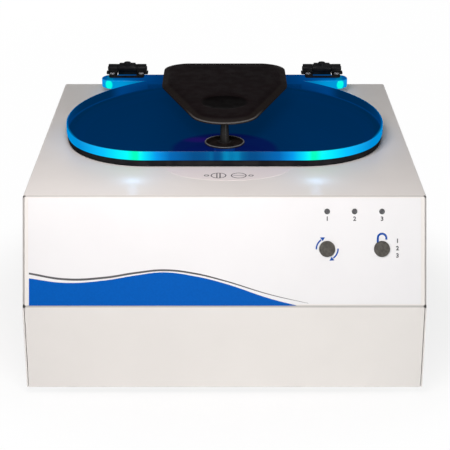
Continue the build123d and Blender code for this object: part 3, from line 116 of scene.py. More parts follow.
def length_property(name, description, length):
    return bpy.props.FloatProperty(name=name, description=description, default=length, unit="LENGTH")


def power_property(name, description, power):
    return bpy.props.FloatProperty(name=name, description=description, default=power, unit="POWER")


class CaseSettings(bpy.types.PropertyGroup):
    paint: colour_property("Paint", "Powder coat on the case", (0.765, 0.742, 0.712))
    paint_shade: colour_property("Paint shade", "Darker mottle in the powder coat", (0.745, 0.722, 0.693))
    film: colour_property("Film", "White of the printed panel film", (0.765, 0.765, 0.77))
    wave: colour_property("Wave", "Blue of the printed wave", (0.0, 0.092, 0.42))
    signs: colour_property("Signs", "Darker blue of the arrows and the shackle", (0.004, 0.07, 0.34))
    line: colour_property("Line", "Grey of the printed line over the wave", (0.105, 0.105, 0.11))
    digits: colour_property("Digits", "Dark grey of the printed numbers", (0.07, 0.07, 0.075))
    ink_rise: length_property("Ink rise", "How far the printing stands on the film", 0.05 * MM)


class ControlSettings(bpy.types.PropertyGroup):
    button: colour_property("Button", "Grey brown of the push buttons", (0.071, 0.066, 0.057))
    lens: colour_property("Lens", "Smoked grey of the indicator lamps", (0.085, 0.085, 0.09))
    dish: length_property("Dish", "Depth of the hollow in a push button", 0.7 * MM)


class LidSettings(bpy.types.PropertyGroup):
    body: colour_property("Acrylic", "Deep colour of the acrylic", (0.0, 0.009, 0.040))
    tint: colour_property("Tint", "Colour of what shows through the acrylic", (0.02, 0.42, 0.90))
    top_glow: colour_property("Top glow", "Light out of the top face", (0.0, 0.024, 0.078))
    # Painted shade: the dark of the rotor seen through the top face, painted in
    disc_glow: colour_property("Disc glow", "Top face over the rotor's near disc", (0.002, 0.003, 0.054))
    ear_glow: colour_property("Ear glow", "Light in the top face of the hinge ears", (0.0, 0.075, 0.19))
    edge_glow: colour_property("Edge glow", "Light from the edge far from a lamp", (0.0, 0.065, 0.205))
    lamp_glow: colour_property("Lamp glow", "Light from the edge at a lamp", (0.0, 1.0, 0.48))
    solidity: bpy.props.FloatProperty(
        name="Solidity", description="How much the acrylic hides", default=0.76, min=0, max=1
    )


class CoverSettings(bpy.types.PropertyGroup):
    plastic: colour_property("Plastic", "Near black of the hand cover", (0.0075, 0.0045, 0.0050))
    # Painted sheen: the browner black painted on the cover's slope
    rim: colour_property("Rim", "Browner black on the slope of the hand cover", (0.013, 0.010, 0.009))
    dish_radius: length_property("Dish radius", "Radius of the dish for the palm", 30.0 * MM)
    dish_depth: length_property("Dish depth", "Depth of the dish for the palm", 1.8 * MM)


class StudioSettings(bpy.types.PropertyGroup):
    distance: length_property("Distance", "Camera in front of the origin", 1.6297)
    height: length_property("Height", "Camera above the floor", 0.7597)
    pitch: bpy.props.FloatProperty(
        name="Pitch", description="Camera's tilt below level", default=math.radians(21.8), unit="ROTATION"
    )
    lens: bpy.props.FloatProperty(name="Lens", description="Focal length", default=111.2, unit="CAMERA")
    shift: bpy.props.FloatProperty(name="Shift", description="Sideways shift of the frame", default=0.0009)
    key: power_property("Key", "Soft light above", 4.8)
    front: power_property("Front", "Soft light in front", 26.0)
    side: power_property("Side", "Soft light at each side", 6.0)
    back: power_property("Back", "Soft light behind", 16.0)
    pool: power_property("Pool", "Light that a lid lamp throws on the deck", 0.006)
    ambient: bpy.props.FloatProperty(name="Ambient", description="Level of the surroundings", default=0.1)


# Node helpers


def add_node(material, kind, **settings):
    made = material.node_tree.nodes.new(kind)
    for name, value in settings.items():
        setattr(made, name, value)
    return made


def link(material, outlet, inlet):
    material.node_tree.links.new(outlet, inlet)


def feed(material, inlet, value):
    """Links an outlet to an inlet, or sets the inlet to a plain value."""
    if isinstance(value, bpy.types.NodeSocket):
        link(material, value, inlet)
    else:
        inlet.default_value = value


def math_node(material, operation, *values):
    made = add_node(material, "ShaderNodeMath", operation=operation)
    for inlet, value in zip(made.inputs, values):
        feed(material, inlet, value)
    return made.outputs[0]


def overlap(material, *masks):
    """The overlap of some masks."""
    product = masks[0]
    for mask in masks[1:]:
        product = math_node(material, "MULTIPLY", product, mask)
    return product


def vector_math(material, operation, *values):
    made = add_node(material, "ShaderNodeVectorMath", operation=operation)
    for inlet, value in zip(made.inputs, values):
        feed(material, inlet, value)
    return made.outputs["Value" if operation == "LENGTH" else "Vector"]


def distance(material, place):
    """How far a place is from the centre of its coordinates."""
    return vector_math(material, "LENGTH", place)


def split(material, vector):
    """The X, Y and Z of a vector."""
    made = add_node(material, "ShaderNodeSeparateXYZ")
    link(material, vector, made.inputs[0])
    return made.outputs


def ramp(material, value, start, end, low=0.0, high=1.0):
    """A smooth run from low at start to high at end."""
    made = add_node(material, "ShaderNodeMapRange", interpolation_type="SMOOTHSTEP")
    feed(material, made.inputs["Value"], value)
    made.inputs["From Min"].default_value = start
    made.inputs["From Max"].default_value = end
    made.inputs["To Min"].default_value = low
    made.inputs["To Max"].default_value = high
    return made.outputs["Result"]


def mix_colours(material, factor, first, second):
    """The first colour where the factor is 0, the second where it is 1."""
    made = add_node(material, "ShaderNodeMix", data_type="RGBA")
    # The node has sockets for each kind of data, and these are the ones for colours
    factor_inlet, colour_inlets, colour_outlet = 0, (6, 7), 2
    feed(material, made.inputs[factor_inlet], factor)
    for inlet, colour in zip(colour_inlets, (first, second)):
        if not isinstance(colour, bpy.types.NodeSocket):
            colour = (*colour, 1)
        feed(material, made.inputs[inlet], colour)
    return made.outputs[colour_outlet]


def dimmed(colour, share):
    return [level * share for level in colour]


def mix_shaders(material, factor, first, second):
    """Shows the first shader where the factor is 0, the second where it is 1."""
    made = add_node(material, "ShaderNodeMixShader")
    for inlet, outlet in zip(made.inputs, (factor, first, second)):
        link(material, outlet, inlet)
    link(material, made.outputs[0], material.node_tree.nodes["Material Output"].inputs["Surface"])


def own_place(material, centre=(0, 0, 0), stretch=(1, 1, 1)):
    """The piece's own coordinates in metres, from a centre and stretched along the axes."""
    place = add_node(material, "ShaderNodeTexCoord").outputs["Object"]
    if tuple(centre) != (0, 0, 0):
        place = vector_math(material, "SUBTRACT", place, tuple(centre))
    if tuple(stretch) != (1, 1, 1):
        place = vector_math(material, "MULTIPLY", place, tuple(stretch))
    return place


def noise(material, scale, detail=3.0, place=None):
    made = add_node(material, "ShaderNodeTexNoise")
    link(material, place or own_place(material), made.inputs["Vector"])
    made.inputs["Scale"].default_value = scale
    made.inputs["Detail"].default_value = detail
    return made.outputs["Fac"]


def drift(material, scale, low=0.0, high=1.0, place=None, spread=0.2):
    """Levels that wander between low and high."""
    return ramp(material, noise(material, scale, place=place), 0.5 - spread, 0.5 + spread, low, high)


def shader_of(material):
    return material.node_tree.nodes["Principled BSDF"]


def new_finish(name, colour, roughness, **sockets):
    """A material whose even values stand on the shader's own sockets."""
    material = bpy.data.materials.new(name)
    material.use_nodes = True
    material.diffuse_color = (*colour, 1)
    shader = shader_of(material)
    shader.inputs["Base Color"].default_value = (*colour, 1)
    shader.inputs["Roughness"].default_value = roughness
    for socket, value in sockets.items():
        shader.inputs[socket.replace("_", " ")].default_value = value
    return material


def shared(finish):
    """The material of a finish, made the first time it is asked for."""
    return bpy.data.materials.get(finish.__name__) or finish()


def base_colour(material, colour):
    link(material, colour, shader_of(material).inputs["Base Color"])


def mottle(material, scale, first, second):
    """Two close colours that drift into each other."""
    base_colour(material, mix_colours(material, drift(material, scale, spread=0.15), first, second))


def scuff(material, scale, smooth, rough, place=None):
    """Roughness that drifts between two values."""
    link(material, drift(material, scale, smooth, rough, place), shader_of(material).inputs["Roughness"])


def bump(material, height, depth, strength):
    """Raises the surface by a height value, over any bump that it has already."""
    made = add_node(material, "ShaderNodeBump")
    made.inputs["Strength"].default_value = strength
    made.inputs["Distance"].default_value = depth
    link(material, height, made.inputs["Height"])
    normal = shader_of(material).inputs["Normal"]
    if normal.links:
        link(material, normal.links[0].from_socket, made.inputs["Normal"])
    link(material, made.outputs["Normal"], normal)


def grain(material, scale, depth, strength, place=None):
    """Fine relief of a given depth in metres."""
    bump(material, noise(material, scale, detail=2.0, place=place), depth, strength)


def shy_gloss(material, facing_level, grazing_level=0.004):
    """Gloss that fades at a low angle, so that a white room doesn't grey a dark face."""
    facing = add_node(material, "ShaderNodeLayerWeight").outputs["Facing"]
    level = ramp(material, facing, 0.2, 0.6, facing_level, grazing_level)
    link(material, level, shader_of(material).inputs["Specular IOR Level"])


def round_place(material, centre):
    """Coordinates that change outwards and upwards from an upright axis, for turned and spun metal."""
    place = own_place(material, centre)
    joined = add_node(material, "ShaderNodeCombineXYZ")
    link(material, distance(material, vector_math(material, "MULTIPLY", place, FLAT)), joined.inputs["X"])
    link(material, split(material, place)["Z"], joined.inputs["Z"])
    return joined.outputs[0]


# Finishes


def powder_coat():
    """Satin powder coat with a fine orange peel, with painted shade along the panel's bends and painted dark
    in their end notches.
    """
    settings = bpy.context.scene.centrifuge_case
    material = new_finish("powder_coat", settings.paint, 0.38, Specular_IOR_Level=0.1)
    colour = mix_colours(material, drift(material, 9, spread=0.15), settings.paint_shade, settings.paint)
    notch_place = (SHELL_HIGH.x - 1.5 * MM, 0, 0)
    for bend in (PANEL_TOP, PANEL_FOOT):
        off = distance(material, own_place(material, bend, (0, 1, 1)))
        # Painted shade: a darker line along each bend of the panel
        crease_shade = ramp(material, off, 1.8 * MM, 0.6 * MM)
        colour = mix_colours(material, crease_shade, colour, dimmed(settings.paint, 0.62))
        off = vector_math(material, "ABSOLUTE", own_place(material, bend))
        off = distance(material, vector_math(material, "SUBTRACT", off, notch_place))
        # Painted shade: near black in the notches at the ends of each bend
        notch_shade = ramp(material, off, 2.6 * MM, 1.4 * MM)
        colour = mix_colours(material, notch_shade, colour, (0.02, 0.02, 0.02))
    base_colour(material, colour)
    scuff(material, 60, 0.34, 0.42)
    grain(material, 900, 0.05 * MM, 0.3)
    grain(material, 160, 0.03 * MM, 0.2)
    return material


def printed_film():
    """White polyester film with a satin face."""
    settings = bpy.context.scene.centrifuge_case
    material = new_finish("printed_film", settings.film, 0.34, Specular_IOR_Level=0.1)
    mottle(material, 14, dimmed(settings.film, 0.985), settings.film)
    scuff(material, 90, 0.30, 0.38)
    grain(material, 2600, 0.01 * MM, 0.3)
    return material


def label_foil():
    """Pale foil of the label on the deck."""
    material = new_finish("label_foil", (0.80, 0.745, 0.735), 0.4, Specular_IOR_Level=0.1)
    mottle(material, 20, (0.79, 0.735, 0.725), (0.805, 0.75, 0.74))
    scuff(material, 50, 0.38, 0.44)
    grain(material, 900, 0.005 * MM, 0.15)
    return material


def ink(name, colour):
    """Screen printed ink with a faint unevenness."""
    material = new_finish(name, colour, 0.4, Specular_IOR_Level=0.08)
    mottle(material, 420, dimmed(colour, 0.94), colour)
    scuff(material, 700, 0.34, 0.46)
    grain(material, 3000, 0.008 * MM, 0.4)
    return material


def zinc_plate():
    """Bright zinc with a faint warm and cool drift."""
    material = new_finish("zinc_plate", (0.62, 0.63, 0.64), 0.35, Metallic=1.0)
    mottle(material, 24, (0.58, 0.60, 0.62), (0.68, 0.67, 0.62))
    scuff(material, 70, 0.28, 0.45)
    grain(material, 1400, 0.02 * MM, 0.3)
    return material


def spun_steel():
    """Stainless bowl with rings left by the spinning tool."""
    material = new_finish("spun_steel", (0.66, 0.67, 0.68), 0.3, Metallic=1.0)
    rings = round_place(material, AXIS)
    mottle(material, 30, (0.60, 0.61, 0.63), (0.70, 0.71, 0.72))
    scuff(material, 220, 0.24, 0.40, place=rings)
    grain(material, 900, 0.03 * MM, 0.35, place=rings)
    return material


def turned_steel():
    """Bright machined steel."""
    material = new_finish("turned_steel", (0.62, 0.62, 0.62), 0.25, Metallic=1.0)
    mottle(material, 90, (0.56, 0.56, 0.57), (0.68, 0.68, 0.68))
    scuff(material, 300, 0.18, 0.34)
    grain(material, 2400, 0.01 * MM, 0.4, place=own_place(material, stretch=(1, 1, 4)))
    return material


def blackened_steel():
    """Black oxide on the small screws of the lid's hinges."""
    material = new_finish("blackened_steel", (0.16, 0.16, 0.17), 0.4, Metallic=1.0)
    mottle(material, 200, (0.12, 0.12, 0.13), (0.19, 0.19, 0.20))
    scuff(material, 300, 0.34, 0.46)
    grain(material, 2400, 0.01 * MM, 0.4)
    return material


def armour_paint():
    """Black primer on the guard ring and the solenoid."""
    material = new_finish("armour_paint", (0.035, 0.037, 0.04), 0.55)
    mottle(material, 26, (0.028, 0.03, 0.033), (0.05, 0.052, 0.056))
    scuff(material, 60, 0.45, 0.65)
    grain(material, 700, 0.06 * MM, 0.4)
    return material


def moulded_rubber():
    """Moulded rubber with a light bloom."""
    material = new_finish("moulded_rubber", (0.012, 0.012, 0.013), 0.72)
    mottle(material, 55, (0.009, 0.009, 0.0105), (0.016, 0.0155, 0.0165))
    scuff(material, 120, 0.60, 0.84)
    grain(material, 1600, 0.03 * MM, 0.4)
    shy_gloss(material, 0.03)
    return material


def grey_silicone():
    """Soft grey seal round the bowl."""
    material = new_finish("grey_silicone", (0.26, 0.27, 0.28), 0.6, Specular_IOR_Level=0.2)
    mottle(material, 45, (0.23, 0.24, 0.25), (0.29, 0.30, 0.31))
    scuff(material, 110, 0.50, 0.72)
    grain(material, 1400, 0.03 * MM, 0.4)
    return material


def cast_aluminium():
    """Sand grained casting."""
    material = new_finish("cast_aluminium", (0.52, 0.53, 0.54), 0.5, Metallic=1.0)
    mottle(material, 40, (0.46, 0.47, 0.48), (0.58, 0.585, 0.59))
    scuff(material, 90, 0.42, 0.62)
    grain(material, 420, 0.15 * MM, 0.45)
    return material


def laminated_iron():
    """Stacked sheet iron, a line for each lamination."""
    material = new_finish("laminated_iron", (0.20, 0.19, 0.18), 0.5, Metallic=0.8)
    layers = own_place(material, stretch=(0.02, 0.02, 1))
    mottle(material, 60, (0.15, 0.14, 0.135), (0.25, 0.235, 0.22))
    scuff(material, 2000, 0.38, 0.62, place=layers)
    grain(material, 2400, 0.12 * MM, 0.6, place=layers)
    return material


def anodised(name, deep, bright):
    """Dyed anodised aluminium with turning marks about the rotor's axis."""
    material = new_finish(name, bright, 0.34, Metallic=0.85)
    turning = round_place(material, AXIS)
    mottle(material, 18, deep, bright)
    scuff(material, 260, 0.26, 0.40, place=turning)
    grain(material, 1100, 0.02 * MM, 0.3, place=turning)
    return material


def hand_plastic():
    """Near black moulded plastic, with a painted browner sheen on the cover's slope, painted shade in its
    dish and a painted highlight on the rim's corner at its tip.
    """
    settings = bpy.context.scene.centrifuge_cover
    material = new_finish("hand_plastic", settings.plastic, 0.42)
    place = split(material, own_place(material))
    along, up = place["Y"], place["Z"]
    colour = mix_colours(material, drift(material, 30), dimmed(settings.plastic, 0.75), settings.plastic)
    # Painted sheen: a browner black on the cover's slope
    slope = ramp(material, up, COVER_LOW.z + 4.6 * MM, COVER_LOW.z + 3.6 * MM)
    colour = mix_colours(material, slope, colour, settings.rim)
    # Painted shade: the dish is painted darker than the crown
    palm = distance(material, own_place(material, AXIS - Vector((0, PALM_BEFORE_AXIS, 0)), FLAT))
    dish = ramp(material, palm, settings.dish_radius, settings.dish_radius * 0.85)
    colour = mix_colours(material, dish, colour, dimmed(settings.plastic, 0.15))
    # Painted highlight: a pale line on the rim's top corner, strongest at the tip and fading towards the back
    corner = ramp(material, up, COVER_LOW.z + 1.2 * MM, COVER_LOW.z + 1.7 * MM)
    under_slope = ramp(material, up, COVER_LOW.z + 2.6 * MM, COVER_LOW.z + 2.1 * MM)
    tip = ramp(material, along, COVER_LOW.y + 60 * MM, COVER_LOW.y + 5 * MM)
    colour = mix_colours(material, overlap(material, corner, under_slope, tip), colour, (0.11, 0.105, 0.10))
    base_colour(material, colour)
    scuff(material, 80, 0.36, 0.50)
    grain(material, 1500, 0.015 * MM, 0.35)
    shy_gloss(material, 0.06, 0.0015)
    return material


def gloss_black():
    """Black moulded plastic of posts, knobs and rocker."""
    material = new_finish("gloss_black", (0.013, 0.012, 0.012), 0.3)
    mottle(material, 60, (0.009, 0.009, 0.009), (0.018, 0.017, 0.016))
    scuff(material, 140, 0.24, 0.38)
    grain(material, 1800, 0.015 * MM, 0.3)
    shy_gloss(material, 0.12)
    return material


def ring_plastic():
    """Dark brown seat ring, with a painted pale highlight on its lip."""
    material = new_finish("ring_plastic", (0.022, 0.018, 0.017), 0.32)
    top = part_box("well_ring")[1].z
    # Painted highlight: the lip is painted pale all round
    lip = ramp(material, split(material, own_place(material))["Z"], top - 0.7 * MM, top - 0.2 * MM)
    cloud = drift(material, 150)
    dark = mix_colours(material, cloud, (0.007, 0.0055, 0.0055), (0.014, 0.011, 0.010))
    pale = mix_colours(material, cloud, (0.09, 0.095, 0.10), (0.17, 0.175, 0.185))
    base_colour(material, mix_colours(material, lip, dark, pale))
    scuff(material, 200, 0.26, 0.40)
    grain(material, 1500, 0.015 * MM, 0.3)
    shy_gloss(material, 0.12)
    return material


def hinge_paint():
    """Satin black over steel."""
    material = new_finish("hinge_paint", (0.006, 0.006, 0.007), 0.38)
    mottle(material, 90, (0.004, 0.004, 0.005), (0.009, 0.009, 0.010))
    scuff(material, 160, 0.30, 0.46)
    grain(material, 1200, 0.03 * MM, 0.35)
    shy_gloss(material, 0.06)
    return material


def button_plastic():
    """Grey brown soft plastic with a cloudy moulding."""
    settings = bpy.context.scene.centrifuge_controls
    material = new_finish("button_plastic", settings.button, 0.46, Specular_IOR_Level=0.2)
    mottle(material, 320, dimmed(settings.button, 0.72), dimmed(settings.button, 1.2))
    scuff(material, 500, 0.40, 0.55)
    grain(material, 2200, 0.02 * MM, 0.4)
    return material


def smoked_lens():
    """Unlit indicator lamp."""
    settings = bpy.context.scene.centrifuge_controls
    material = new_finish("smoked_lens", settings.lens, 0.14, Specular_IOR_Level=0.3)
    mottle(material, 500, dimmed(settings.lens, 0.8), dimmed(settings.lens, 1.15))
    scuff(material, 900, 0.10, 0.20)
    grain(material, 1500, 0.01 * MM, 0.3)
    return material


def lamp_lens():
    """Lit lamp, from green to pale cyan."""
    material = new_finish("lamp_lens", (0.0, 0.5, 0.45), 0.2, Emission_Strength=2.2)
    glow = mix_colours(material, drift(material, 260), (0.0, 0.85, 0.62), (0.05, 1.0, 0.92))
    link(material, glow, shader_of(material).inputs["Emission Color"])
    scuff(material, 600, 0.15, 0.28)
    return material


def circuit_green():
    """Solder mask with traces running under it."""
    material = new_finish("circuit_green", (0.012, 0.11, 0.045), 0.35)
    tracks = add_node(material, "ShaderNodeTexVoronoi", feature="DISTANCE_TO_EDGE", distance="MANHATTAN")
    link(material, own_place(material), tracks.inputs["Vector"])
    tracks.inputs["Scale"].default_value = 180
    trace = ramp(material, tracks.outputs["Distance"], 0.10, 0.06)
    base_colour(material, mix_colours(material, trace, (0.010, 0.095, 0.040), (0.03, 0.20, 0.085)))
    scuff(material, 200, 0.28, 0.42)
    bump(material, trace, 0.04 * MM, 0.5)
    return material


def moulded_nylon():
    """Black nylon with a spark eroded grain."""
    material = new_finish("moulded_nylon", (0.018, 0.018, 0.019), 0.55, Specular_IOR_Level=0.25)
    mottle(material, 90, (0.013, 0.013, 0.014), (0.026, 0.026, 0.027))
    scuff(material, 300, 0.45, 0.62)
    grain(material, 1500, 0.04 * MM, 0.45)
    return material


def plated_brass():
    """Brass of the inlet's pins and the board's standoffs."""
    material = new_finish("plated_brass", (0.66, 0.50, 0.22), 0.28, Metallic=1.0)
    mottle(material, 200, (0.58, 0.43, 0.18), (0.72, 0.56, 0.27))
    scuff(material, 400, 0.2, 0.36)
    grain(material, 2000, 0.01 * MM, 0.3)
    return material


def lamp_places():
    """Middles of the four lamps in the lid."""
    return [(low + high) / 2 for low, high in solid_boxes("lid_leds")]


def along_edge(material, across, lamp):
    """Colours along the lid's front edge, from its middle past a lamp to its side."""
    settings = bpy.context.scene.centrifuge_lid
    inwards, outwards = 68 * MM, 92 * MM
    stops = [(0.0, settings.edge_glow), (0.17, (0.0, 0.13, 0.42)), (0.27, (0.0, 0.32, 0.80))]
    stops += [(0.35, (0.0, 0.72, 0.93)), (0.39, (0.0, 1.0, 0.85))]
    stops += [(0.41, settings.lamp_glow), (0.435, settings.lamp_glow), (0.48, (0.0, 0.99, 0.92))]
    stops += [(0.55, (0.0, 0.84, 1.0)), (0.66, (0.0, 0.54, 1.0)), (0.85, (0.0, 0.28, 0.70))]
    colours = add_node(material, "ShaderNodeValToRGB")
    for number, (share, colour) in enumerate(stops):
        if number > 1:
            colours.color_ramp.elements.new(share)
        colours.color_ramp.elements[number].position = share
        colours.color_ramp.elements[number].color = (*colour, 1)
    share = math_node(material, "SUBTRACT", across, lamp.x - inwards)
    link(material, math_node(material, "DIVIDE", share, inwards + outwards), colours.inputs["Fac"])
    return colours.outputs["Color"]


def ear_light(material, across, up, lamp):
    """Blue of an ear's faces, with the round green gleam of its lamp."""
    spread = ramp(material, across, lamp.x - 62 * MM, lamp.x - 12 * MM)
    ear = mix_colours(material, spread, (0.0, 0.10, 0.27), (0.0, 0.30, 0.66))
    past = ramp(material, across, lamp.x + 2 * MM, lamp.x + 8 * MM)
    ear = mix_colours(material, past, ear, (0.0, 0.30, 0.74))
    aside = math_node(material, "SUBTRACT", across, lamp.x)
    rise = math_node(material, "SUBTRACT", up, (LID_LOW.z + LID_HIGH.z) / 2)
    rise = math_node(material, "MULTIPLY", rise, 0.75)
    squares = [math_node(material, "MULTIPLY", side, side) for side in (aside, rise)]
    gleam = math_node(material, "SQRT", math_node(material, "ADD", *squares))
    return mix_colours(material, ramp(material, gleam, 5.8 * MM, 3.6 * MM), ear, (0.0, 1.0, 0.80))


def edge_light(material, across, along, up):
    """Light from the lid's edge: green at the lamps, then cyan and blue, dim in the middle and behind."""
    lamps = lamp_places()
    front = min(lamps, key=lambda lamp: (lamp.y, -lamp.x))
    rear = max(lamps, key=lambda lamp: (lamp.y, lamp.x))
    light = along_edge(material, across, front)
    # Painted highlight: paler streaks across the middle of the front edge
    streaks = noise(material, 75, detail=4, place=own_place(material, stretch=(1, 0.3, 0.02)))
    streaks = overlap(material, ramp(material, streaks, 0.30, 0.75), ramp(material, across, 30 * MM, 10 * MM))
    light = mix_colours(material, streaks, light, (0.0, 0.27, 0.50))
    light = mix_colours(material, ramp(material, along, -10 * MM, 80 * MM), light, (0.0, 0.13, 0.24))
    light = mix_colours(material, ramp(material, along, 55 * MM, 105 * MM), light, (0.0, 0.02, 0.05))
    ear = ramp(material, along, rear.y - 50 * MM, rear.y - 30 * MM)
    return mix_colours(material, ear, light, ear_light(material, across, up, rear))


def top_light(material, across, along):
    """Light in the lid's top face, brighter on the ears, with the rotor painted in as if seen through:
    painted shade in deep blue over its disc and a painted violet patch.
    """
    settings = bpy.context.scene.centrifuge_lid
    disc_middle, disc_radius = Vector((0, -98.5 * MM, 0)), 66 * MM
    violet_middle, violet_radius = Vector((-30 * MM, -62 * MM, 0)), 28 * MM
    sides = ramp(material, across, 30 * MM, 110 * MM)
    top = mix_colours(material, sides, dimmed(settings.top_glow, 0.8), settings.top_glow)
    # Painted shade: a deep blue disc where the rotor would show through the lid
    off = distance(material, own_place(material, disc_middle, FLAT))
    disc = ramp(material, off, disc_radius, disc_radius - 10 * MM)
    top = mix_colours(material, disc, top, settings.disc_glow)
    # Painted violet patch where a bucket would show through the lid
    off = distance(material, own_place(material, violet_middle, (1, 2, 0)))
    violet = overlap(material, ramp(material, off, violet_radius, 6 * MM), disc)
    top = mix_colours(material, violet, top, (0.014, 0.0, 0.085))
    aside = ramp(material, across, 60 * MM, 130 * MM)
    behind = ramp(material, along, LID_HIGH.y - 75 * MM, LID_HIGH.y - 20 * MM)
    top = mix_colours(material, overlap(material, aside, behind), top, (0.0, 0.055, 0.20))
    out = distance(material, own_place(material, AXIS, FLAT))
    beyond = ramp(material, out, LID_HIGH.x - 3 * MM, LID_HIGH.x + 1 * MM)
    ear = overlap(material, beyond, ramp(material, across, 112 * MM, 150 * MM))
    top = mix_colours(material, ear, top, settings.ear_glow)
    ear_front = LID_HIGH.y - EAR_DEPTH
    rim = ramp(material, along, ear_front + 7 * MM, ear_front + 1 * MM)
    return mix_colours(material, overlap(material, ear, rim), top, (0.0, 0.25, 0.62))


def lit_acrylic():
    """Blue acrylic lit from its edge: bright at its lamps, dim in its face, and partly seen through."""
    settings = bpy.context.scene.centrifuge_lid
    material = new_finish("lit_acrylic", settings.body, 0.06, Emission_Strength=1.0)
    shader = shader_of(material)
    across, along, up = split(material, own_place(material))
    across = math_node(material, "ABSOLUTE", across)
    normal = add_node(material, "ShaderNodeTexCoord").outputs["Normal"]
    edge = ramp(material, math_node(material, "ABSOLUTE", split(material, normal)["Z"]), 0.90, 0.30)
    top = top_light(material, across, along)
    side = edge_light(material, across, along, up)
    link(material, mix_colours(material, edge, top, side), shader.inputs["Emission Color"])
    scuff(material, 40, 0.04, 0.10)
    grain(material, 30, 0.05 * MM, 0.15)
    shy_gloss(material, 0.05, 0.0)
    clear = add_node(material, "ShaderNodeBsdfTransparent")
    clear.inputs["Color"].default_value = (*settings.tint, 1)
    solid = ramp(material, edge, 0.0, 1.0, settings.solidity, 1.0)
    mix_shaders(material, solid, clear.outputs[0], shader.outputs[0])
    return material


# Modelling helpers


def deselect_all():
    if bpy.context.mode != "OBJECT":
        bpy.ops.object.mode_set(mode="OBJECT")
    bpy.ops.object.select_all(action="DESELECT")


def choose(piece):
    """Selects one piece alone and makes it active."""
    deselect_all()
    piece.select_set(True)
    bpy.context.view_layer.objects.active = piece


def add_object(name, data):
    """A new object in the scene."""
    made = bpy.data.objects.new(name, data)
    bpy.context.scene.collection.objects.link(made)
    return made


def rename(piece, name):
    piece.name = name
    piece.data.name = name
    return piece


def edit_all():
    bpy.ops.object.mode_set(mode="EDIT")
    bpy.ops.mesh.select_all(action="SELECT")


def open_piece(name):
    """Names the primitive that was just added and opens it in edit mode, all selected."""
    piece = rename(bpy.context.object, name)
    edit_all()
    return piece


def close_piece():
    """Merges doubles, turns the faces outwards and leaves edit mode."""
    bpy.ops.mesh.select_all(action="SELECT")
    bpy.ops.mesh.remove_doubles(threshold=MERGE)
    bpy.ops.mesh.normals_make_consistent(inside=False)
    bpy.ops.object.mode_set(mode="OBJECT")


def move_selected(piece, place):
    """Moves each selected vertex to the point that place gives for it."""
    shape = bmesh.from_edit_mesh(piece.data)
    for vertex in shape.verts:
        if vertex.select:
            vertex.co = place(vertex.co)
    bmesh.update_edit_mesh(piece.data)


def turned(name, profile, sides=64):
    """A round piece on the Z axis: a circle drawn out through its radii and heights in millimetres."""
    deselect_all()
    bpy.ops.mesh.primitive_circle_add(vertices=sides, radius=profile[0][0] * MM + POLE)
    piece = open_piece(name)
    for step, (radius, height) in enumerate(profile):
        if step:
            bpy.ops.mesh.extrude_region_move()
        reach = max(radius * MM, POLE)
        move_selected(piece, lambda point: (*(point.xy.normalized() * reach), height * MM))
    close_piece()
    return piece


def shaped_disc(name, outline):
    """A filled circle with its vertices moved onto an outline."""
    deselect_all()
    bpy.ops.mesh.primitive_circle_add(vertices=len(outline), fill_type="NGON")
    piece = open_piece(name)
    shape = bmesh.from_edit_mesh(piece.data)
    shape.verts.ensure_lookup_table()
    for vertex, (x, y) in zip(shape.verts, outline):
        vertex.co = (x, y, 0)
    bmesh.update_edit_mesh(piece.data)
    return piece


def apply_modifier(piece, kind, **settings):
    choose(piece)
    bpy.ops.object.modifier_add(type=kind)
    modifier = piece.modifiers[-1]
    for name, value in settings.items():
        setattr(modifier, name, value)
    bpy.ops.object.modifier_apply(modifier=modifier.name)


def smooth(piece, angle=SHARP):
    choose(piece)
    bpy.ops.object.shade_smooth_by_angle(angle=math.radians(angle))


def ease_edges(piece, width, segments=2, angle=SHARP):
    """Rounds the sharp edges of a piece and shades the rest smooth."""
    apply_modifier(
        piece,
        "BEVEL",
        width=width,
        segments=segments,
        limit_method="ANGLE",
        angle_limit=math.radians(angle),
        use_clamp_overlap=False,
        harden_normals=False,
    )
    smooth(piece, angle)


def place_piece(piece, matrix):
    """Puts a piece in place and applies the place to its mesh."""
    piece.matrix_world = matrix @ piece.matrix_world
    choose(piece)
    bpy.ops.object.transform_apply(location=True, rotation=True, scale=True)
    return piece


def copy_piece(piece, name, matrix):
    """A copy with its own mesh, in its own place."""
    choose(piece)
    bpy.ops.object.duplicate(linked=False)
    return place_piece(rename(bpy.context.object, name), matrix)


def join_pieces(pieces, name):
    deselect_all()
    for piece in pieces:
        piece.select_set(True)
    bpy.context.view_layer.objects.active = pieces[0]
    bpy.ops.object.join()
    return rename(bpy.context.object, name)


def discard(*pieces):
    for piece in pieces:
        bpy.data.objects.remove(piece)


def merged_copy(node, name):
    """A copy of a CAD node with its loose triangles merged and its flat faces made whole."""
    piece = add_object(name, frame["nodes"][node].data.copy())
    choose(piece)
    bpy.ops.mesh.customdata_custom_splitnormals_clear()
    edit_all()
    bpy.ops.mesh.remove_doubles(threshold=MERGE)
    bpy.ops.mesh.dissolve_limited(angle_limit=math.radians(0.5))
    bpy.ops.object.mode_set(mode="OBJECT")
    return piece


def solid_boxes(node):
    """The lowest and highest corner of each separate solid in a CAD node."""
    merged_copy(node, "measured")
    edit_all()
    bpy.ops.mesh.separate(type="LOOSE")
    bpy.ops.object.mode_set(mode="OBJECT")
    parts = list(bpy.context.selected_objects)
    boxes = []
    for part in parts:
        sides = list(zip(*part.bound_box))
        boxes.append((Vector([min(side) for side in sides]), Vector([max(side) for side in sides])))
    discard(*parts)
    return sorted(boxes, key=lambda box: tuple(round(value, 5) for value in box[0]))


def finish_piece(piece, material, *nodes, replace=True):
    """Gives a piece its material, and the body of the first CAD node that it stands for."""
    piece.data.materials.clear()
    piece.data.materials.append(material)
    for polygon in piece.data.polygons:
        polygon.material_index = 0
    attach(piece, BODY_OF[nodes[0]])
    if replace:
        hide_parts(*nodes)
    return piece


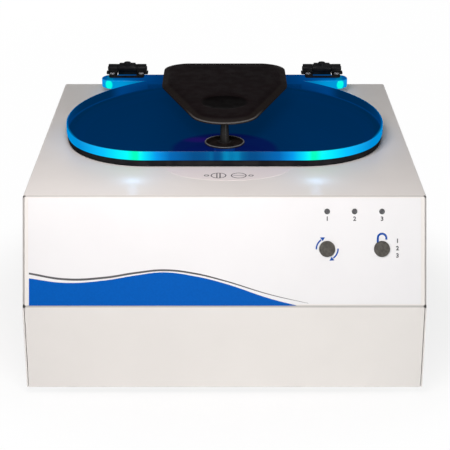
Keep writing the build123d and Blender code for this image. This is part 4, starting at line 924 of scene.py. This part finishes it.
def one_for_each(node, master, name, material, spot):
    """Copies a master piece to each solid of a CAD node, where spot says, and joins the copies."""
    copies = [copy_piece(master, name, spot(low, high)) for low, high in solid_boxes(node)]
    return finish_piece(join_pieces(copies, name), material, node)


def standing(low, high):
    """The place in the middle of a solid's underside."""
    return Matrix.Translation(((low.x + high.x) / 2, (low.y + high.y) / 2, low.z))


def turned_set(node, name, material, profile, sides, spot=standing, angle=SHARP):
    """One turned piece for each solid of a CAD node, joined."""
    master = turned(name + "_master", profile, sides)
    smooth(master, angle)
    one_for_each(node, master, name, material, spot)
    discard(master)


def paint(material, *nodes):
    """Gives CAD nodes that stay as they are a material."""
    for node in nodes:
        frame["nodes"][node].data.materials.clear()
        frame["nodes"][node].data.materials.append(material)


def dress(node, material, width, segments=2, angle=SHARP):
    """A copy of a CAD node with eased edges, shown in its place."""
    piece = merged_copy(node, node + "_dressed")
    ease_edges(piece, width, segments, angle)
    return finish_piece(piece, material, node)


def panel_matrix(across, down, out=0.0):
    """The place of something on the sloped panel: X across, Y up the slope, Z out of it."""
    origin = PANEL_TOP + Vector((across, 0, 0)) - PANEL_UP * down + PANEL_OUT * out
    turn = Matrix((Vector((1, 0, 0)), PANEL_UP, PANEL_OUT)).transposed()
    return Matrix.Translation(origin) @ turn.to_4x4()


# Case and printing


def filled_curve(name, points, corners=()):
    """A flat closed curve through points, smooth except at the numbered corners, made a mesh."""
    deselect_all()
    bpy.ops.curve.primitive_bezier_circle_add()
    drawing = bpy.context.object
    drawing.name = name
    drawing.data.dimensions = "2D"
    drawing.data.fill_mode = "BOTH"
    drawing.data.resolution_u = 16
    drawing.data.splines.clear()
    spline = drawing.data.splines.new("BEZIER")
    spline.bezier_points.add(len(points) - 1)
    spline.use_cyclic_u = True
    for number, (knot, (x, y)) in enumerate(zip(spline.bezier_points, points)):
        knot.co = (x, y, 0)
        kind = "VECTOR" if number in corners else "AUTO"
        knot.handle_left_type = kind
        knot.handle_right_type = kind
    return flat_mesh(drawing)


def flat_mesh(drawing):
    """Makes a flat curve or a text a mesh."""
    choose(drawing)
    bpy.ops.object.convert(target="MESH")
    return bpy.context.object


def digit(number):
    """A printed number, centred on the origin."""
    deselect_all()
    bpy.ops.object.text_add()
    written = bpy.context.object
    written.data.body = str(number)
    written.data.size = DIGIT_HEIGHT / DIGIT_SHARE
    written.data.offset = DIGIT_HEIGHT * DIGIT_BOLDNESS
    written.data.align_x = "CENTER"
    written.data.align_y = "CENTER"
    return flat_mesh(written)


def print_on_panel(drawing, name, material, across=0.0, down=0.0):
    """Lays a flat drawing on the panel film."""
    rename(drawing, name)
    rise = bpy.context.scene.centrifuge_case.ink_rise
    place_piece(drawing, panel_matrix(across, down, FILM + rise))
    return finish_piece(drawing, material, "front_overlay", replace=False)


def arc_points(centre, radius, start, end, count):
    """Points on an arc from one angle in degrees to another."""
    points = []
    for step in range(count + 1):
        angle = math.radians(start + (end - start) * step / count)
        points.append((centre[0] + radius * math.cos(angle), centre[1] + radius * math.sin(angle)))
    return points


# Left end of the wave and its line, and the wave's foot below the panel's top edge, in millimetres
WAVE_LEFT, WAVE_FOOT = -215.1, 120.7


def wave_drawing():
    """Blue wave along the foot of the panel film: X across, Y up from the panel's top edge."""
    crest = [(WAVE_LEFT, 90.7), (-175.0, 95.7), (-132.0, 93.0), (-98.0, 87.5), (-67.0, 84.1)]
    crest += [(-33.6, 88.2), (-1.8, 95.8), (50.1, 113.0), (79.6, WAVE_FOOT), (WAVE_LEFT, WAVE_FOOT)]
    return filled_curve("wave", [(x * MM, -down * MM) for x, down in crest], corners=(0, 8, 9))


def line_drawing():
    """Grey line that follows the wave and thins out to the right."""
    middle = [(WAVE_LEFT, 85.4), (-175.0, 91.8), (-132.0, 90.0), (-98.0, 84.8), (-67.0, 81.8)]
    middle += [(-33.6, 85.3), (-1.8, 92.9), (50.1, 108.6), (92.0, 118.2)]
    widths = [2.1, 2.3, 2.3, 2.2, 2.1, 1.9, 1.5, 0.9, 0.3]
    upper, lower = (
        [(x * MM, (side * width / 2 - down) * MM) for (x, down), width in zip(middle, widths)]
        for side in (1, -1)
    )
    return filled_curve("line", upper + lower[::-1], corners=(0, 8, 9, 17))


def stroke(name, centre_line, width):
    """A band of even width along a line of points."""
    left, right = [], []
    for number, point in enumerate(centre_line):
        before = Vector(centre_line[max(number - 1, 0)])
        after = Vector(centre_line[min(number + 1, len(centre_line) - 1)])
        along = (after - before).normalized()
        across = Vector((-along.y, along.x)) * width / 2
        left.append(tuple(Vector(point) + across))
        right.append(tuple(Vector(point) - across))
    points = left + right[::-1]
    return filled_curve(name, points, corners=range(len(points)))


def turn_arrow():
    """One of the two curved arrows round the start button."""
    band = stroke("arrow_band", arc_points((0, 0), 11.9 * MM, 182, 124, 10), 1.7 * MM)
    head = [(-8.0 * MM, 12.6 * MM), (-2.4 * MM, 12.9 * MM), (-4.9 * MM, 8.6 * MM)]
    return join_pieces([band, filled_curve("arrow_head", head, corners=(0, 1, 2))], "arrow")


def open_shackle():
    """Shackle of an open padlock that stands on the unlock button."""
    radius, rise, short_leg = 4.7 * MM, 12.1 * MM, 1.8 * MM
    left_leg = [(-radius, 7.0 * MM)]
    right_leg = [(radius, rise - short_leg)]
    bow = arc_points((0, rise), radius, 180, 0, 12)
    return stroke("shackle", left_leg + bow + right_leg, 2.3 * MM)


def printed_ring(across, radius):
    """A circle drawn with a pen, as two halves."""
    halves = [arc_points((across, 0), radius, start, start + 180, 16) for start in (0, 180)]
    return [stroke("ring_half", half, 1.2 * MM) for half in halves]


def label_signs():
    """Plain signs on the deck label: a barred ring, a ring with a line, and a small ring on each side."""
    pieces = []
    for across, radius in ((-11.3, 8.4), (11.9, 8.4), (-25.0, 2.4), (25.9, 2.4)):
        pieces += printed_ring(across * MM, radius * MM)
    for across in (-13.1, -9.5):
        pieces.append(stroke("bar", [(across * MM, -8 * MM), (across * MM, 8 * MM)], 1.3 * MM))
    pieces.append(stroke("bar", [(5.3 * MM, 0), (18.5 * MM, 0)], 0.8 * MM))
    return join_pieces(pieces, "label_signs")


class CENTRIFUGE_OT_case(bpy.types.Operator):
    """Powder coated case, plated floor pan and rubber feet"""

    bl_idname = "centrifuge.case"
    bl_label = "Case"

    def execute(self, context):
        paint(shared(powder_coat), "case_shell")
        dress("rear_panel", shared(powder_coat), 0.3 * MM, angle=50)
        paint(zinc_plate(), "base_pan", "motor_plate")
        low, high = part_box("feet")
        height = (high.z - low.z) / MM
        bore = [(0, 4.5), (4.6, 4.5), (4.8, 0.3), (5.2, 0)]
        outside = [(11.0, 0), (12.4, 0.5), (13.0, 1.8), (12.6, height - 0.6), (12.0, height), (0, height)]
        turned_set("feet", "rubber_feet", shared(moulded_rubber), bore + outside, 48)
        return {"FINISHED"}


class CENTRIFUGE_OT_printing(bpy.types.Operator):
    """White panel film with its wave, line, numbers and signs, and the label on the deck"""

    bl_idname = "centrifuge.printing"
    bl_label = "Printing"

    def execute(self, context):
        settings = context.scene.centrifuge_case
        paint(printed_film(), "front_overlay")
        paint(label_foil(), "deck_label")
        blue = ink("wave_ink", settings.wave)
        grey = ink("line_ink", settings.line)
        dark = ink("digit_ink", settings.digits)
        signs = ink("sign_ink", settings.signs)
        print_on_panel(wave_drawing(), "printed_wave", blue)
        print_on_panel(line_drawing(), "printed_line", grey)
        lamps = sorted((low.x + high.x) / 2 for low, high in solid_boxes("indicator_leds"))
        for number, across in enumerate(lamps, 1):
            print_on_panel(digit(number), f"lamp_number_{number}", dark, across, LAMP_NUMBERS_DOWN)
        for number, down in enumerate(STEPS_DOWN, 1):
            print_on_panel(digit(number), f"step_number_{number}", dark, STEPS_ACROSS, down)
        start = button_place("start_button")
        arrow = turn_arrow()
        other = copy_piece(arrow, "arrow_right", Matrix.Rotation(math.pi, 4, "Z"))
        print_on_panel(other, "arrow_right", signs, *start)
        print_on_panel(arrow, "arrow_left", signs, *start)
        print_on_panel(open_shackle(), "open_shackle", signs, *button_place("unlock_button"))
        low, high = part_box("deck_label")
        signs_behind_front = 16.3 * MM
        spot = Vector(((low.x + high.x) / 2, low.y + signs_behind_front, high.z + settings.ink_rise))
        drawing = place_piece(label_signs(), Matrix.Translation(spot))
        finish_piece(drawing, ink("label_ink", settings.digits), "deck_label", replace=False)
        return {"FINISHED"}


# Controls


def button_place(node):
    """Across and down the panel of a push button's middle."""
    low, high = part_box(node)
    return (low.x + high.x) / 2, BUTTONS_DOWN


def push_button():
    """A round button with a rounded rim, a hollow face, its flange and its stem."""
    dish = bpy.context.scene.centrifuge_controls.dish / MM
    radius, proud, stem, flange, back, foot = 8.6, 2.0, 4.0, 10.5, -2.9, -14.0
    profile = [(0, foot), (stem, foot), (stem, back), (flange, back), (flange, -1.5), (radius, -1.5)]
    profile += [(radius, proud), (radius - 1.6, proud), (radius - 2.4, proud - dish * 0.3)]
    profile += [(radius * 0.4, proud - dish), (0, proud - dish * 1.1)]
    button = turned("button", profile)
    ease_edges(button, 0.45 * MM, 3, 40)
    return button


class CENTRIFUGE_OT_controls(bpy.types.Operator):
    """Push buttons, indicator lamps and the board behind them"""

    bl_idname = "centrifuge.controls"
    bl_label = "Controls"

    def execute(self, context):
        plastic = button_plastic()
        button = push_button()
        for node in ("start_button", "unlock_button"):
            piece = copy_piece(button, node + "_cap", panel_matrix(*button_place(node)))
            finish_piece(piece, plastic, node)
        discard(button)
        legs = [(0, -18), (1.4, -18), (1.4, -9)]
        lens = [(2.9, -9), (2.9, 0.35), (2.6, 0.55), (2.0, 0.66), (0, 0.7)]

        def spot(low, high):
            return panel_matrix((low.x + high.x) / 2, LAMPS_DOWN)

        turned_set("indicator_leds", "indicator_lamps", smoked_lens(), legs + lens, 32, spot)
        dress("control_board", shared(circuit_green), 0.15 * MM)
        dress("button_switches", shared(moulded_nylon), 0.5 * MM)
        dress("board_standoffs", shared(plated_brass), 0.2 * MM)
        return {"FINISHED"}


# Lid


def striker_seat():
    """Ring round the foot of the striker post, with a raised lip, and its sleeve down through the lid."""
    low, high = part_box("well_ring")
    foot, lip = (low.z - LID_HIGH.z) / MM, (high.z - LID_HIGH.z) / MM
    bore, sleeve, radius = 5.6, 12.0, 23.5
    profile = [(bore, foot), (sleeve, foot), (sleeve, 0), (radius, 0), (radius, lip * 0.6), (23.0, lip)]
    profile += [(22.2, lip), (21.6, lip - 0.8), (20.5, lip - 1.2), (9.0, lip - 1.2), (7.6, lip - 0.6)]
    ring = turned("striker_seat", profile + [(bore, lip - 0.6), (bore, foot)], 72)
    ease_edges(ring, 0.2 * MM, 2, 40)
    return place_piece(ring, Matrix.Translation((0, STRIKER.y, LID_HIGH.z)))


class CENTRIFUGE_OT_lid(bpy.types.Operator):
    """Edge lit acrylic lid with its gasket, lamps, striker and the striker's seat"""

    bl_idname = "centrifuge.lid"
    bl_label = "Lid"

    def execute(self, context):
        dress("lid_panel", lit_acrylic(), 0.35 * MM).name = "acrylic_lid"
        dress("lid_gasket", shared(moulded_rubber), 1.2 * MM, 3)
        lamp = [(0, 0), (2.4, 0), (2.75, 0.4), (2.75, 6.4), (2.4, 7.7), (1.5, 8.6), (0, 8.95)]
        turned_set("lid_leds", "lid_lamps", lamp_lens(), lamp, 32, angle=50)
        finish_piece(striker_seat(), ring_plastic(), "well_ring")
        dress("striker_post", shared(gloss_black), 0.3 * MM)
        return {"FINISHED"}


# Hand cover


def cover_outline():
    """The hand cover from above, about the rotor's axis: round tip, flared sides and straight back."""
    tip_radius, tip_reach, flare = 41 * MM, 111 * MM, 17.7
    side, shoulder, back, corner = 79.5 * MM, 60 * MM, 153 * MM, 32 * MM
    tip = arc_points((0, tip_radius - tip_reach), tip_radius, -90, -flare, 14)
    lean = math.radians(flare)
    rise = (side - shoulder * (1 - math.cos(lean)) - tip[-1][0]) / math.tan(lean)
    bend = (side - shoulder, tip[-1][1] + rise + shoulder * math.sin(lean))
    bow = arc_points(bend, shoulder, -flare, 0, 8)
    flank = between(tip[-1], bow[0], 12)
    rear = arc_points((side - corner, back - corner), corner, 0, 90, 14)
    straight = between(bow[-1], rear[0], 8)
    right = tip[1:] + flank + bow + straight + rear + between(rear[-1], (0, back), 6)
    left = [(-x, y) for x, y in right[::-1]]
    return [tip[0]] + right + [(0, back)] + left


def between(start, end, steps):
    """Evenly spaced points between two points, without them."""
    return [tuple(Vector(start).lerp(Vector(end), step / steps)) for step in range(1, steps)]


def palm_cover():
    """Smooth cover: upright rim, sloping shoulder, flat crown and a dish for the palm."""
    settings = bpy.context.scene.centrifuge_cover
    crown = COVER_HIGH.z - COVER_LOW.z
    palm = Vector((0, -PALM_BEFORE_AXIS))
    cover = shaped_disc("hand_cover", cover_outline())
    shoulder = 1.5
    bpy.ops.mesh.extrude_region_move(TRANSFORM_OT_translate={"value": (0, 0, shoulder * MM)})
    slope = ((0.15, 0.35), (0.4, 0.2), (3.6, 1.05), (3.6, 1.05), (2.6, 0.7), (2.6, 0.4), (2.6, 0.2))
    for inwards, upwards in slope:
        bpy.ops.mesh.inset(thickness=inwards * MM, depth=upwards * MM, use_even_offset=True)
        shoulder += upwards

    def ring_at(reach, share, height):
        """Draws a new ring in, by a share of its way, to a reach from the palm's middle."""
        bpy.ops.mesh.inset(thickness=0.05 * MM)

        def place(point):
            goal = palm + (point.xy - palm).normalized() * reach
            return (*point.xy.lerp(goal, share), height)

        move_selected(cover, place)

    rings = 10
    for ring in range(1, rings + 1):
        rise = math.sin(math.pi / 2 * ring / rings)
        height = shoulder * MM + (crown - shoulder * MM) * rise
        ring_at(settings.dish_radius, 1 / (rings + 1 - ring), height)
    dish = ((0.97, 0.10), (0.90, 0.34), (0.78, 0.60), (0.6, 0.82), (0.4, 0.93), (0.2, 0.98), (0.05, 1.0))
    for share, drop in dish:
        ring_at(settings.dish_radius * share, 1, crown - settings.dish_depth * drop)
    bpy.ops.mesh.merge(type="CENTER")
    close_piece()
    return cover


class CENTRIFUGE_OT_hand_cover(bpy.types.Operator):
    """Moulded hand cover raised over the lid on its posts"""

    bl_idname = "centrifuge.hand_cover"
    bl_label = "Hand cover"

    def execute(self, context):
        cover = place_piece(palm_cover(), Matrix.Translation((0, AXIS.y, COVER_LOW.z)))
        smooth(cover, 40)
        finish_piece(cover, hand_plastic(), "hand_plate")
        dress("rear_posts", shared(gloss_black), 0.4 * MM)
        return {"FINISHED"}


# Hinges and screws


def recessed_screw(name, head_radius, head_height, shank_radius, reach):
    """A button head screw with a hexagon recess, in millimetres, its seat at the origin, pointing down."""
    profile = [(0, -reach), (shank_radius * 0.8, -reach), (shank_radius, -reach * 0.93), (shank_radius, 0)]
    profile += [(head_radius, 0), (head_radius, head_height * 0.35)]
    steps = 4
    for step in range(1, steps + 1):
        angle = math.pi / 2 * step / steps
        radius = head_radius * (0.55 + 0.45 * math.cos(angle))
        profile.append((radius, head_height * (0.35 + 0.65 * math.sin(angle))))
    screw = turned(name, profile + [(0, head_height)], 32)
    deselect_all()
    bpy.ops.mesh.primitive_cylinder_add(
        vertices=6,
        radius=head_radius * 0.42 * MM,
        depth=head_height * 1.4 * MM,
        location=(0, 0, head_height * MM),
    )
    key = bpy.context.object
    apply_modifier(screw, "BOOLEAN", object=key, operation="DIFFERENCE")
    discard(key)
    smooth(screw, 30)
    return screw


def set_screws(node, name, screw, heads, material):
    """Puts a screw in each solid of a CAD node, its head on the side that heads tells."""
    head_height = max(corner[2] for corner in screw.bound_box)

    def spot(low, high):
        middle = (low + high) / 2
        out = heads(middle)
        seat = middle + (high - low) * out / 2 - out * head_height
        return Matrix.Translation(seat) @ UP.rotation_difference(out).to_matrix().to_4x4()

    one_for_each(node, screw, name, material, spot)


class CENTRIFUGE_OT_hinges(bpy.types.Operator):
    """Satin black hinges with their pins"""

    bl_idname = "centrifuge.hinges"
    bl_label = "Hinges"

    def execute(self, context):
        black = hinge_paint()
        dress("hinge_bases", black, 0.45 * MM, 3)
        dress("hinge_leaves", black, 0.45 * MM, 3)
        dress("hinge_pins", black, 0.5 * MM, 3)
        return {"FINISHED"}


class CENTRIFUGE_OT_screws(bpy.types.Operator):
    """Screws with hexagon recesses, modelled once for each size and copied"""

    bl_idname = "centrifuge.screws"
    bl_label = "Screws"

    def execute(self, context):
        bright = shared(turned_steel)
        top_margin = 20 * MM

        def case_side(middle):
            inside = abs(middle.x) < SHELL_HIGH.x - top_margin
            return UP if inside else Vector((math.copysign(1, middle.x), 0, 0))

        case_screw = recessed_screw("case_screw", 3.8, 2.0, 2.0, 8.0)
        leaf_screw = recessed_screw("leaf_screw", 3.6, 1.8, 2.0, 12.0)
        post_screw = recessed_screw("post_screw", 5.0, 2.0, 2.5, 24.0)
        set_screws("case_screws", "case_screw_set", case_screw, case_side, bright)
        set_screws("foot_screws", "foot_screw_set", case_screw, lambda middle: -UP, bright)
        set_screws("lid_hinge_screws", "leaf_screw_set", leaf_screw, lambda middle: UP, blackened_steel())
        set_screws("post_screws", "post_screw_set", post_screw, lambda middle: -UP, bright)
        discard(case_screw, leaf_screw, post_screw)
        return {"FINISHED"}


# Chamber, rotor and drive


def shaft_bellows():
    """Folded boot round the shaft, on the bowl's floor."""
    flange = [(24.0, 0), (28.0, 0), (28.0, 2.2), (22.0, 2.5)]
    folds = [(19.5, 4.2), (20.3, 5.2), (16.8, 6.8), (17.4, 7.8), (13.6, 9.4), (13.8, 10.4), (11.0, 12.0)]
    inside = [(8.6, 12.0), (11.5, 9.0), (19.5, 0.8), (24.0, 0)]
    boot = turned("shaft_bellows", flange + folds + inside)
    ease_edges(boot, 0.3 * MM, 2, 30)
    return place_piece(boot, Matrix.Translation((AXIS.x, AXIS.y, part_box("shaft_boot")[0].z)))


class CENTRIFUGE_OT_chamber(bpy.types.Operator):
    """Spun bowl with its seal, guard ring and shaft boot"""

    bl_idname = "centrifuge.chamber"
    bl_label = "Chamber"

    def execute(self, context):
        paint(spun_steel(), *[node for node in frame["nodes"] if node.startswith("chamber_")])
        dress("bowl_seal", grey_silicone(), 0.6 * MM)
        dress("guard_ring", shared(armour_paint), 0.5 * MM)
        finish_piece(shaft_bellows(), shared(moulded_rubber), "shaft_boot")
        return {"FINISHED"}


class CENTRIFUGE_OT_rotor(bpy.types.Operator):
    """Anodised rotor spider, its nut, pins and shaft"""

    bl_idname = "centrifuge.rotor"
    bl_label = "Rotor"

    def execute(self, context):
        violet = anodised("rotor_anodise", (0.10, 0.05, 0.36), (0.20, 0.12, 0.55))
        dress("rotor_spider", violet, 0.5 * MM)
        dress("rotor_nut", shared(gloss_black), 0.3 * MM)
        dress("trunnion_pins", shared(turned_steel), 0.3 * MM)
        paint(shared(turned_steel), "motor_shaft")
        return {"FINISHED"}


class CENTRIFUGE_OT_buckets(bpy.types.Operator):
    """Anodised swinging buckets with rubber cushions in their sockets"""

    bl_idname = "centrifuge.buckets"
    bl_label = "Buckets"

    def execute(self, context):
        blue = anodised("bucket_anodise", (0.02, 0.08, 0.34), (0.05, 0.15, 0.52))
        count = len([node for node in frame["nodes"] if node.startswith("bucket_")])
        for number in range(1, count + 1):
            dress(f"bucket_{number}", blue, 0.5 * MM)
            dress(f"cushions_{number}", shared(moulded_rubber), 0.5 * MM)
        return {"FINISHED"}


class CENTRIFUGE_OT_latch(bpy.types.Operator):
    """Lock housing, bolt, plunger and solenoid"""

    bl_idname = "centrifuge.latch"
    bl_label = "Latch"

    def execute(self, context):
        dress("latch_housing", shared(cast_aluminium), 0.5 * MM)
        dress("lock_bolt", shared(turned_steel), 0.25 * MM)
        dress("lock_plunger", shared(turned_steel), 0.3 * MM)
        dress("solenoid", shared(armour_paint), 0.5 * MM)
        return {"FINISHED"}


class CENTRIFUGE_OT_drive(bpy.types.Operator):
    """Motor, its bearings, isolators and laminations"""

    bl_idname = "centrifuge.drive"
    bl_label = "Drive"

    def execute(self, context):
        paint(shared(cast_aluminium), "motor_housing")
        paint(laminated_iron(), "motor_stator", "motor_armature")
        paint(shared(turned_steel), "motor_bearings")
        low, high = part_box("motor_isolators")
        height = (high.z - low.z) / MM
        foot = [(0, 0), (10.4, 0), (11.0, 0.6), (11.0, 3.0)]
        waist = [(9.6, height * 0.35), (9.2, height * 0.5), (9.6, height * 0.65)]
        head = [(radius, height - level) for radius, level in reversed(foot)]
        rubber = shared(moulded_rubber)
        turned_set("motor_isolators", "rubber_isolators", rubber, foot + waist + head, 40, angle=40)
        return {"FINISHED"}


class CENTRIFUGE_OT_mains(bpy.types.Operator):
    """Mains inlet, fuse drawer, power switch and power board"""

    bl_idname = "centrifuge.mains"
    bl_label = "Mains parts"

    def execute(self, context):
        nylon = shared(moulded_nylon)
        dress("inlet_socket", nylon, 0.4 * MM)
        dress("inlet_pins", shared(plated_brass), 0.35 * MM)
        dress("fuse_drawer", nylon, 0.35 * MM)
        dress("power_switch", nylon, 0.4 * MM)
        dress("switch_rocker", shared(gloss_black), 0.4 * MM).name = "rocker"
        dress("power_board", shared(circuit_green), 0.15 * MM)
        dress("power_parts", nylon, 0.6 * MM)
        return {"FINISHED"}


# Studio


def soft_light(name, place, aim, size, power, colour=(1, 1, 1), glossy=True):
    """A round soft light that the camera doesn't see."""
    lamp = bpy.data.lights.new(name, "AREA")
    lamp.shape = "DISK"
    lamp.size = size
    lamp.energy = power
    lamp.color = colour
    light = add_object(name, lamp)
    light.location = place
    light.rotation_euler = (Vector(aim) - Vector(place)).to_track_quat("-Z", "Y").to_euler()
    light.visible_camera = False
    light.visible_glossy = glossy


def seen_straight(material):
    """1 for what the camera sees, in gloss and through a clear part too, and 0 for light on other pieces."""
    rays = add_node(material, "ShaderNodeLightPath").outputs
    seen = math_node(material, "MAXIMUM", rays["Is Camera Ray"], rays["Is Glossy Ray"])
    return math_node(material, "MAXIMUM", seen, rays["Is Transmission Ray"])


def floor_material():
    """Pale floor that reads white to the camera, most of all away from the centrifuge's shadow."""
    material = new_finish("studio_floor", (0.92, 0.92, 0.92), 0.9)
    mottle(material, 3, (0.91, 0.91, 0.91), (0.93, 0.93, 0.93))
    white = add_node(material, "ShaderNodeEmission")
    share = ramp(material, distance(material, own_place(material)), 0.26, 0.42, 0.80, 0.99)
    share = overlap(material, seen_straight(material), share)
    mix_shaders(material, share, shader_of(material).outputs[0], white.outputs[0])
    return material


def lamp_pool(lamp, power):
    """The light that a front lamp of the lid throws on the deck, carried by the lid."""
    light = bpy.data.lights.new("lamp_pool", "POINT")
    light.energy = power
    light.color = (0.34, 0.60, 1.0)
    light.shadow_soft_size = 6 * MM
    pool = add_object("lamp_pool", light)
    before_lid, over_underside = 47 * MM, 6 * MM
    pool.location = (lamp.x, LID_LOW.y - before_lid, LID_LOW.z + over_underside)
    pool.visible_camera = False
    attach(pool, "lid")


def surroundings(ambient):
    """White to the camera, gloss and glass, and a plain level to all else."""
    world = bpy.data.worlds.new("surroundings")
    world.use_nodes = True
    bpy.context.scene.world = world
    background = world.node_tree.nodes["Background"]
    background.inputs["Color"].default_value = (1, 1, 1, 1)
    link(world, ramp(world, seen_straight(world), 0, 1, ambient, 1.0), background.inputs["Strength"])


class CENTRIFUGE_OT_studio(bpy.types.Operator):
    """Pale floor, soft lights and the camera"""

    bl_idname = "centrifuge.studio"
    bl_label = "Studio"

    def execute(self, context):
        settings = context.scene.centrifuge_studio
        context.scene.view_settings.view_transform = "Standard"
        deselect_all()
        bpy.ops.mesh.primitive_grid_add(x_subdivisions=8, y_subdivisions=8, size=14)
        floor = context.object
        floor.name = "studio_floor"
        floor.data.materials.append(floor_material())
        aim, deck = (0, 0, 0.15), (0, -0.1, 0.2)
        soft_light("key_light", (-0.12, -0.55, 0.77), deck, 0.45, settings.key, (1.0, 0.935, 0.93))
        soft_light("front_light", (1.2, -2.3, 0.45), aim, 1.2, settings.front, (0.97, 1.0, 1.0))
        soft_light("left_light", (-2.2, 0.1, 0.4), aim, 1.0, settings.side, glossy=False)
        soft_light("right_light", (2.2, 0.1, 0.4), aim, 1.0, settings.side, glossy=False)
        soft_light("back_light", (-0.6, 2.2, 0.4), aim, 1.0, settings.back, glossy=False)
        for lamp in lamp_places():
            if lamp.y < AXIS.y:
                lamp_pool(lamp, settings.pool)
        surroundings(settings.ambient)
        lens = bpy.data.cameras.new("camera")
        lens.sensor_width = 36
        lens.lens = settings.lens
        lens.shift_x = settings.shift
        camera = add_object("camera", lens)
        camera.location = (0, -settings.distance, settings.height)
        camera.rotation_euler = (math.pi / 2 - settings.pitch, 0, 0)
        context.scene.camera = camera
        return {"FINISHED"}


class CENTRIFUGE_PT_panel(bpy.types.Panel):
    """Lists the centrifuge's pieces and their settings"""

    bl_idname = "CENTRIFUGE_PT_panel"
    bl_label = "Bench Centrifuge"
    bl_space_type = "VIEW_3D"
    bl_region_type = "UI"
    bl_category = "Centrifuge"

    def draw(self, context):
        for operator in OPERATORS:
            self.layout.operator(operator.bl_idname)
        for name, group in SETTINGS.items():
            box = self.layout.box()
            for value in group.__annotations__:
                box.prop(getattr(context.scene, name), value)


SETTINGS = {
    "centrifuge_case": CaseSettings,
    "centrifuge_controls": ControlSettings,
    "centrifuge_lid": LidSettings,
    "centrifuge_cover": CoverSettings,
    "centrifuge_studio": StudioSettings,
}

# In the order in which they run
OPERATORS = (
    CENTRIFUGE_OT_case,
    CENTRIFUGE_OT_printing,
    CENTRIFUGE_OT_controls,
    CENTRIFUGE_OT_lid,
    CENTRIFUGE_OT_hand_cover,
    CENTRIFUGE_OT_hinges,
    CENTRIFUGE_OT_screws,
    CENTRIFUGE_OT_chamber,
    CENTRIFUGE_OT_rotor,
    CENTRIFUGE_OT_buckets,
    CENTRIFUGE_OT_latch,
    CENTRIFUGE_OT_drive,
    CENTRIFUGE_OT_mains,
    CENTRIFUGE_OT_studio,
)


def register():
    for group in SETTINGS.values():
        bpy.utils.register_class(group)
    for name, group in SETTINGS.items():
        setattr(bpy.types.Scene, name, bpy.props.PointerProperty(type=group))
    for operator in OPERATORS:
        bpy.utils.register_class(operator)
    bpy.utils.register_class(CENTRIFUGE_PT_panel)


def unregister():
    bpy.utils.unregister_class(CENTRIFUGE_PT_panel)
    for operator in reversed(OPERATORS):
        bpy.utils.unregister_class(operator)
    for name in SETTINGS:
        delattr(bpy.types.Scene, name)
    for group in reversed(list(SETTINGS.values())):
        bpy.utils.unregister_class(group)


def main():
    register()
    for operator in OPERATORS:
        group, name = operator.bl_idname.split(".")
        getattr(getattr(bpy.ops, group), name)()


if __name__ == "__main__":
    main()
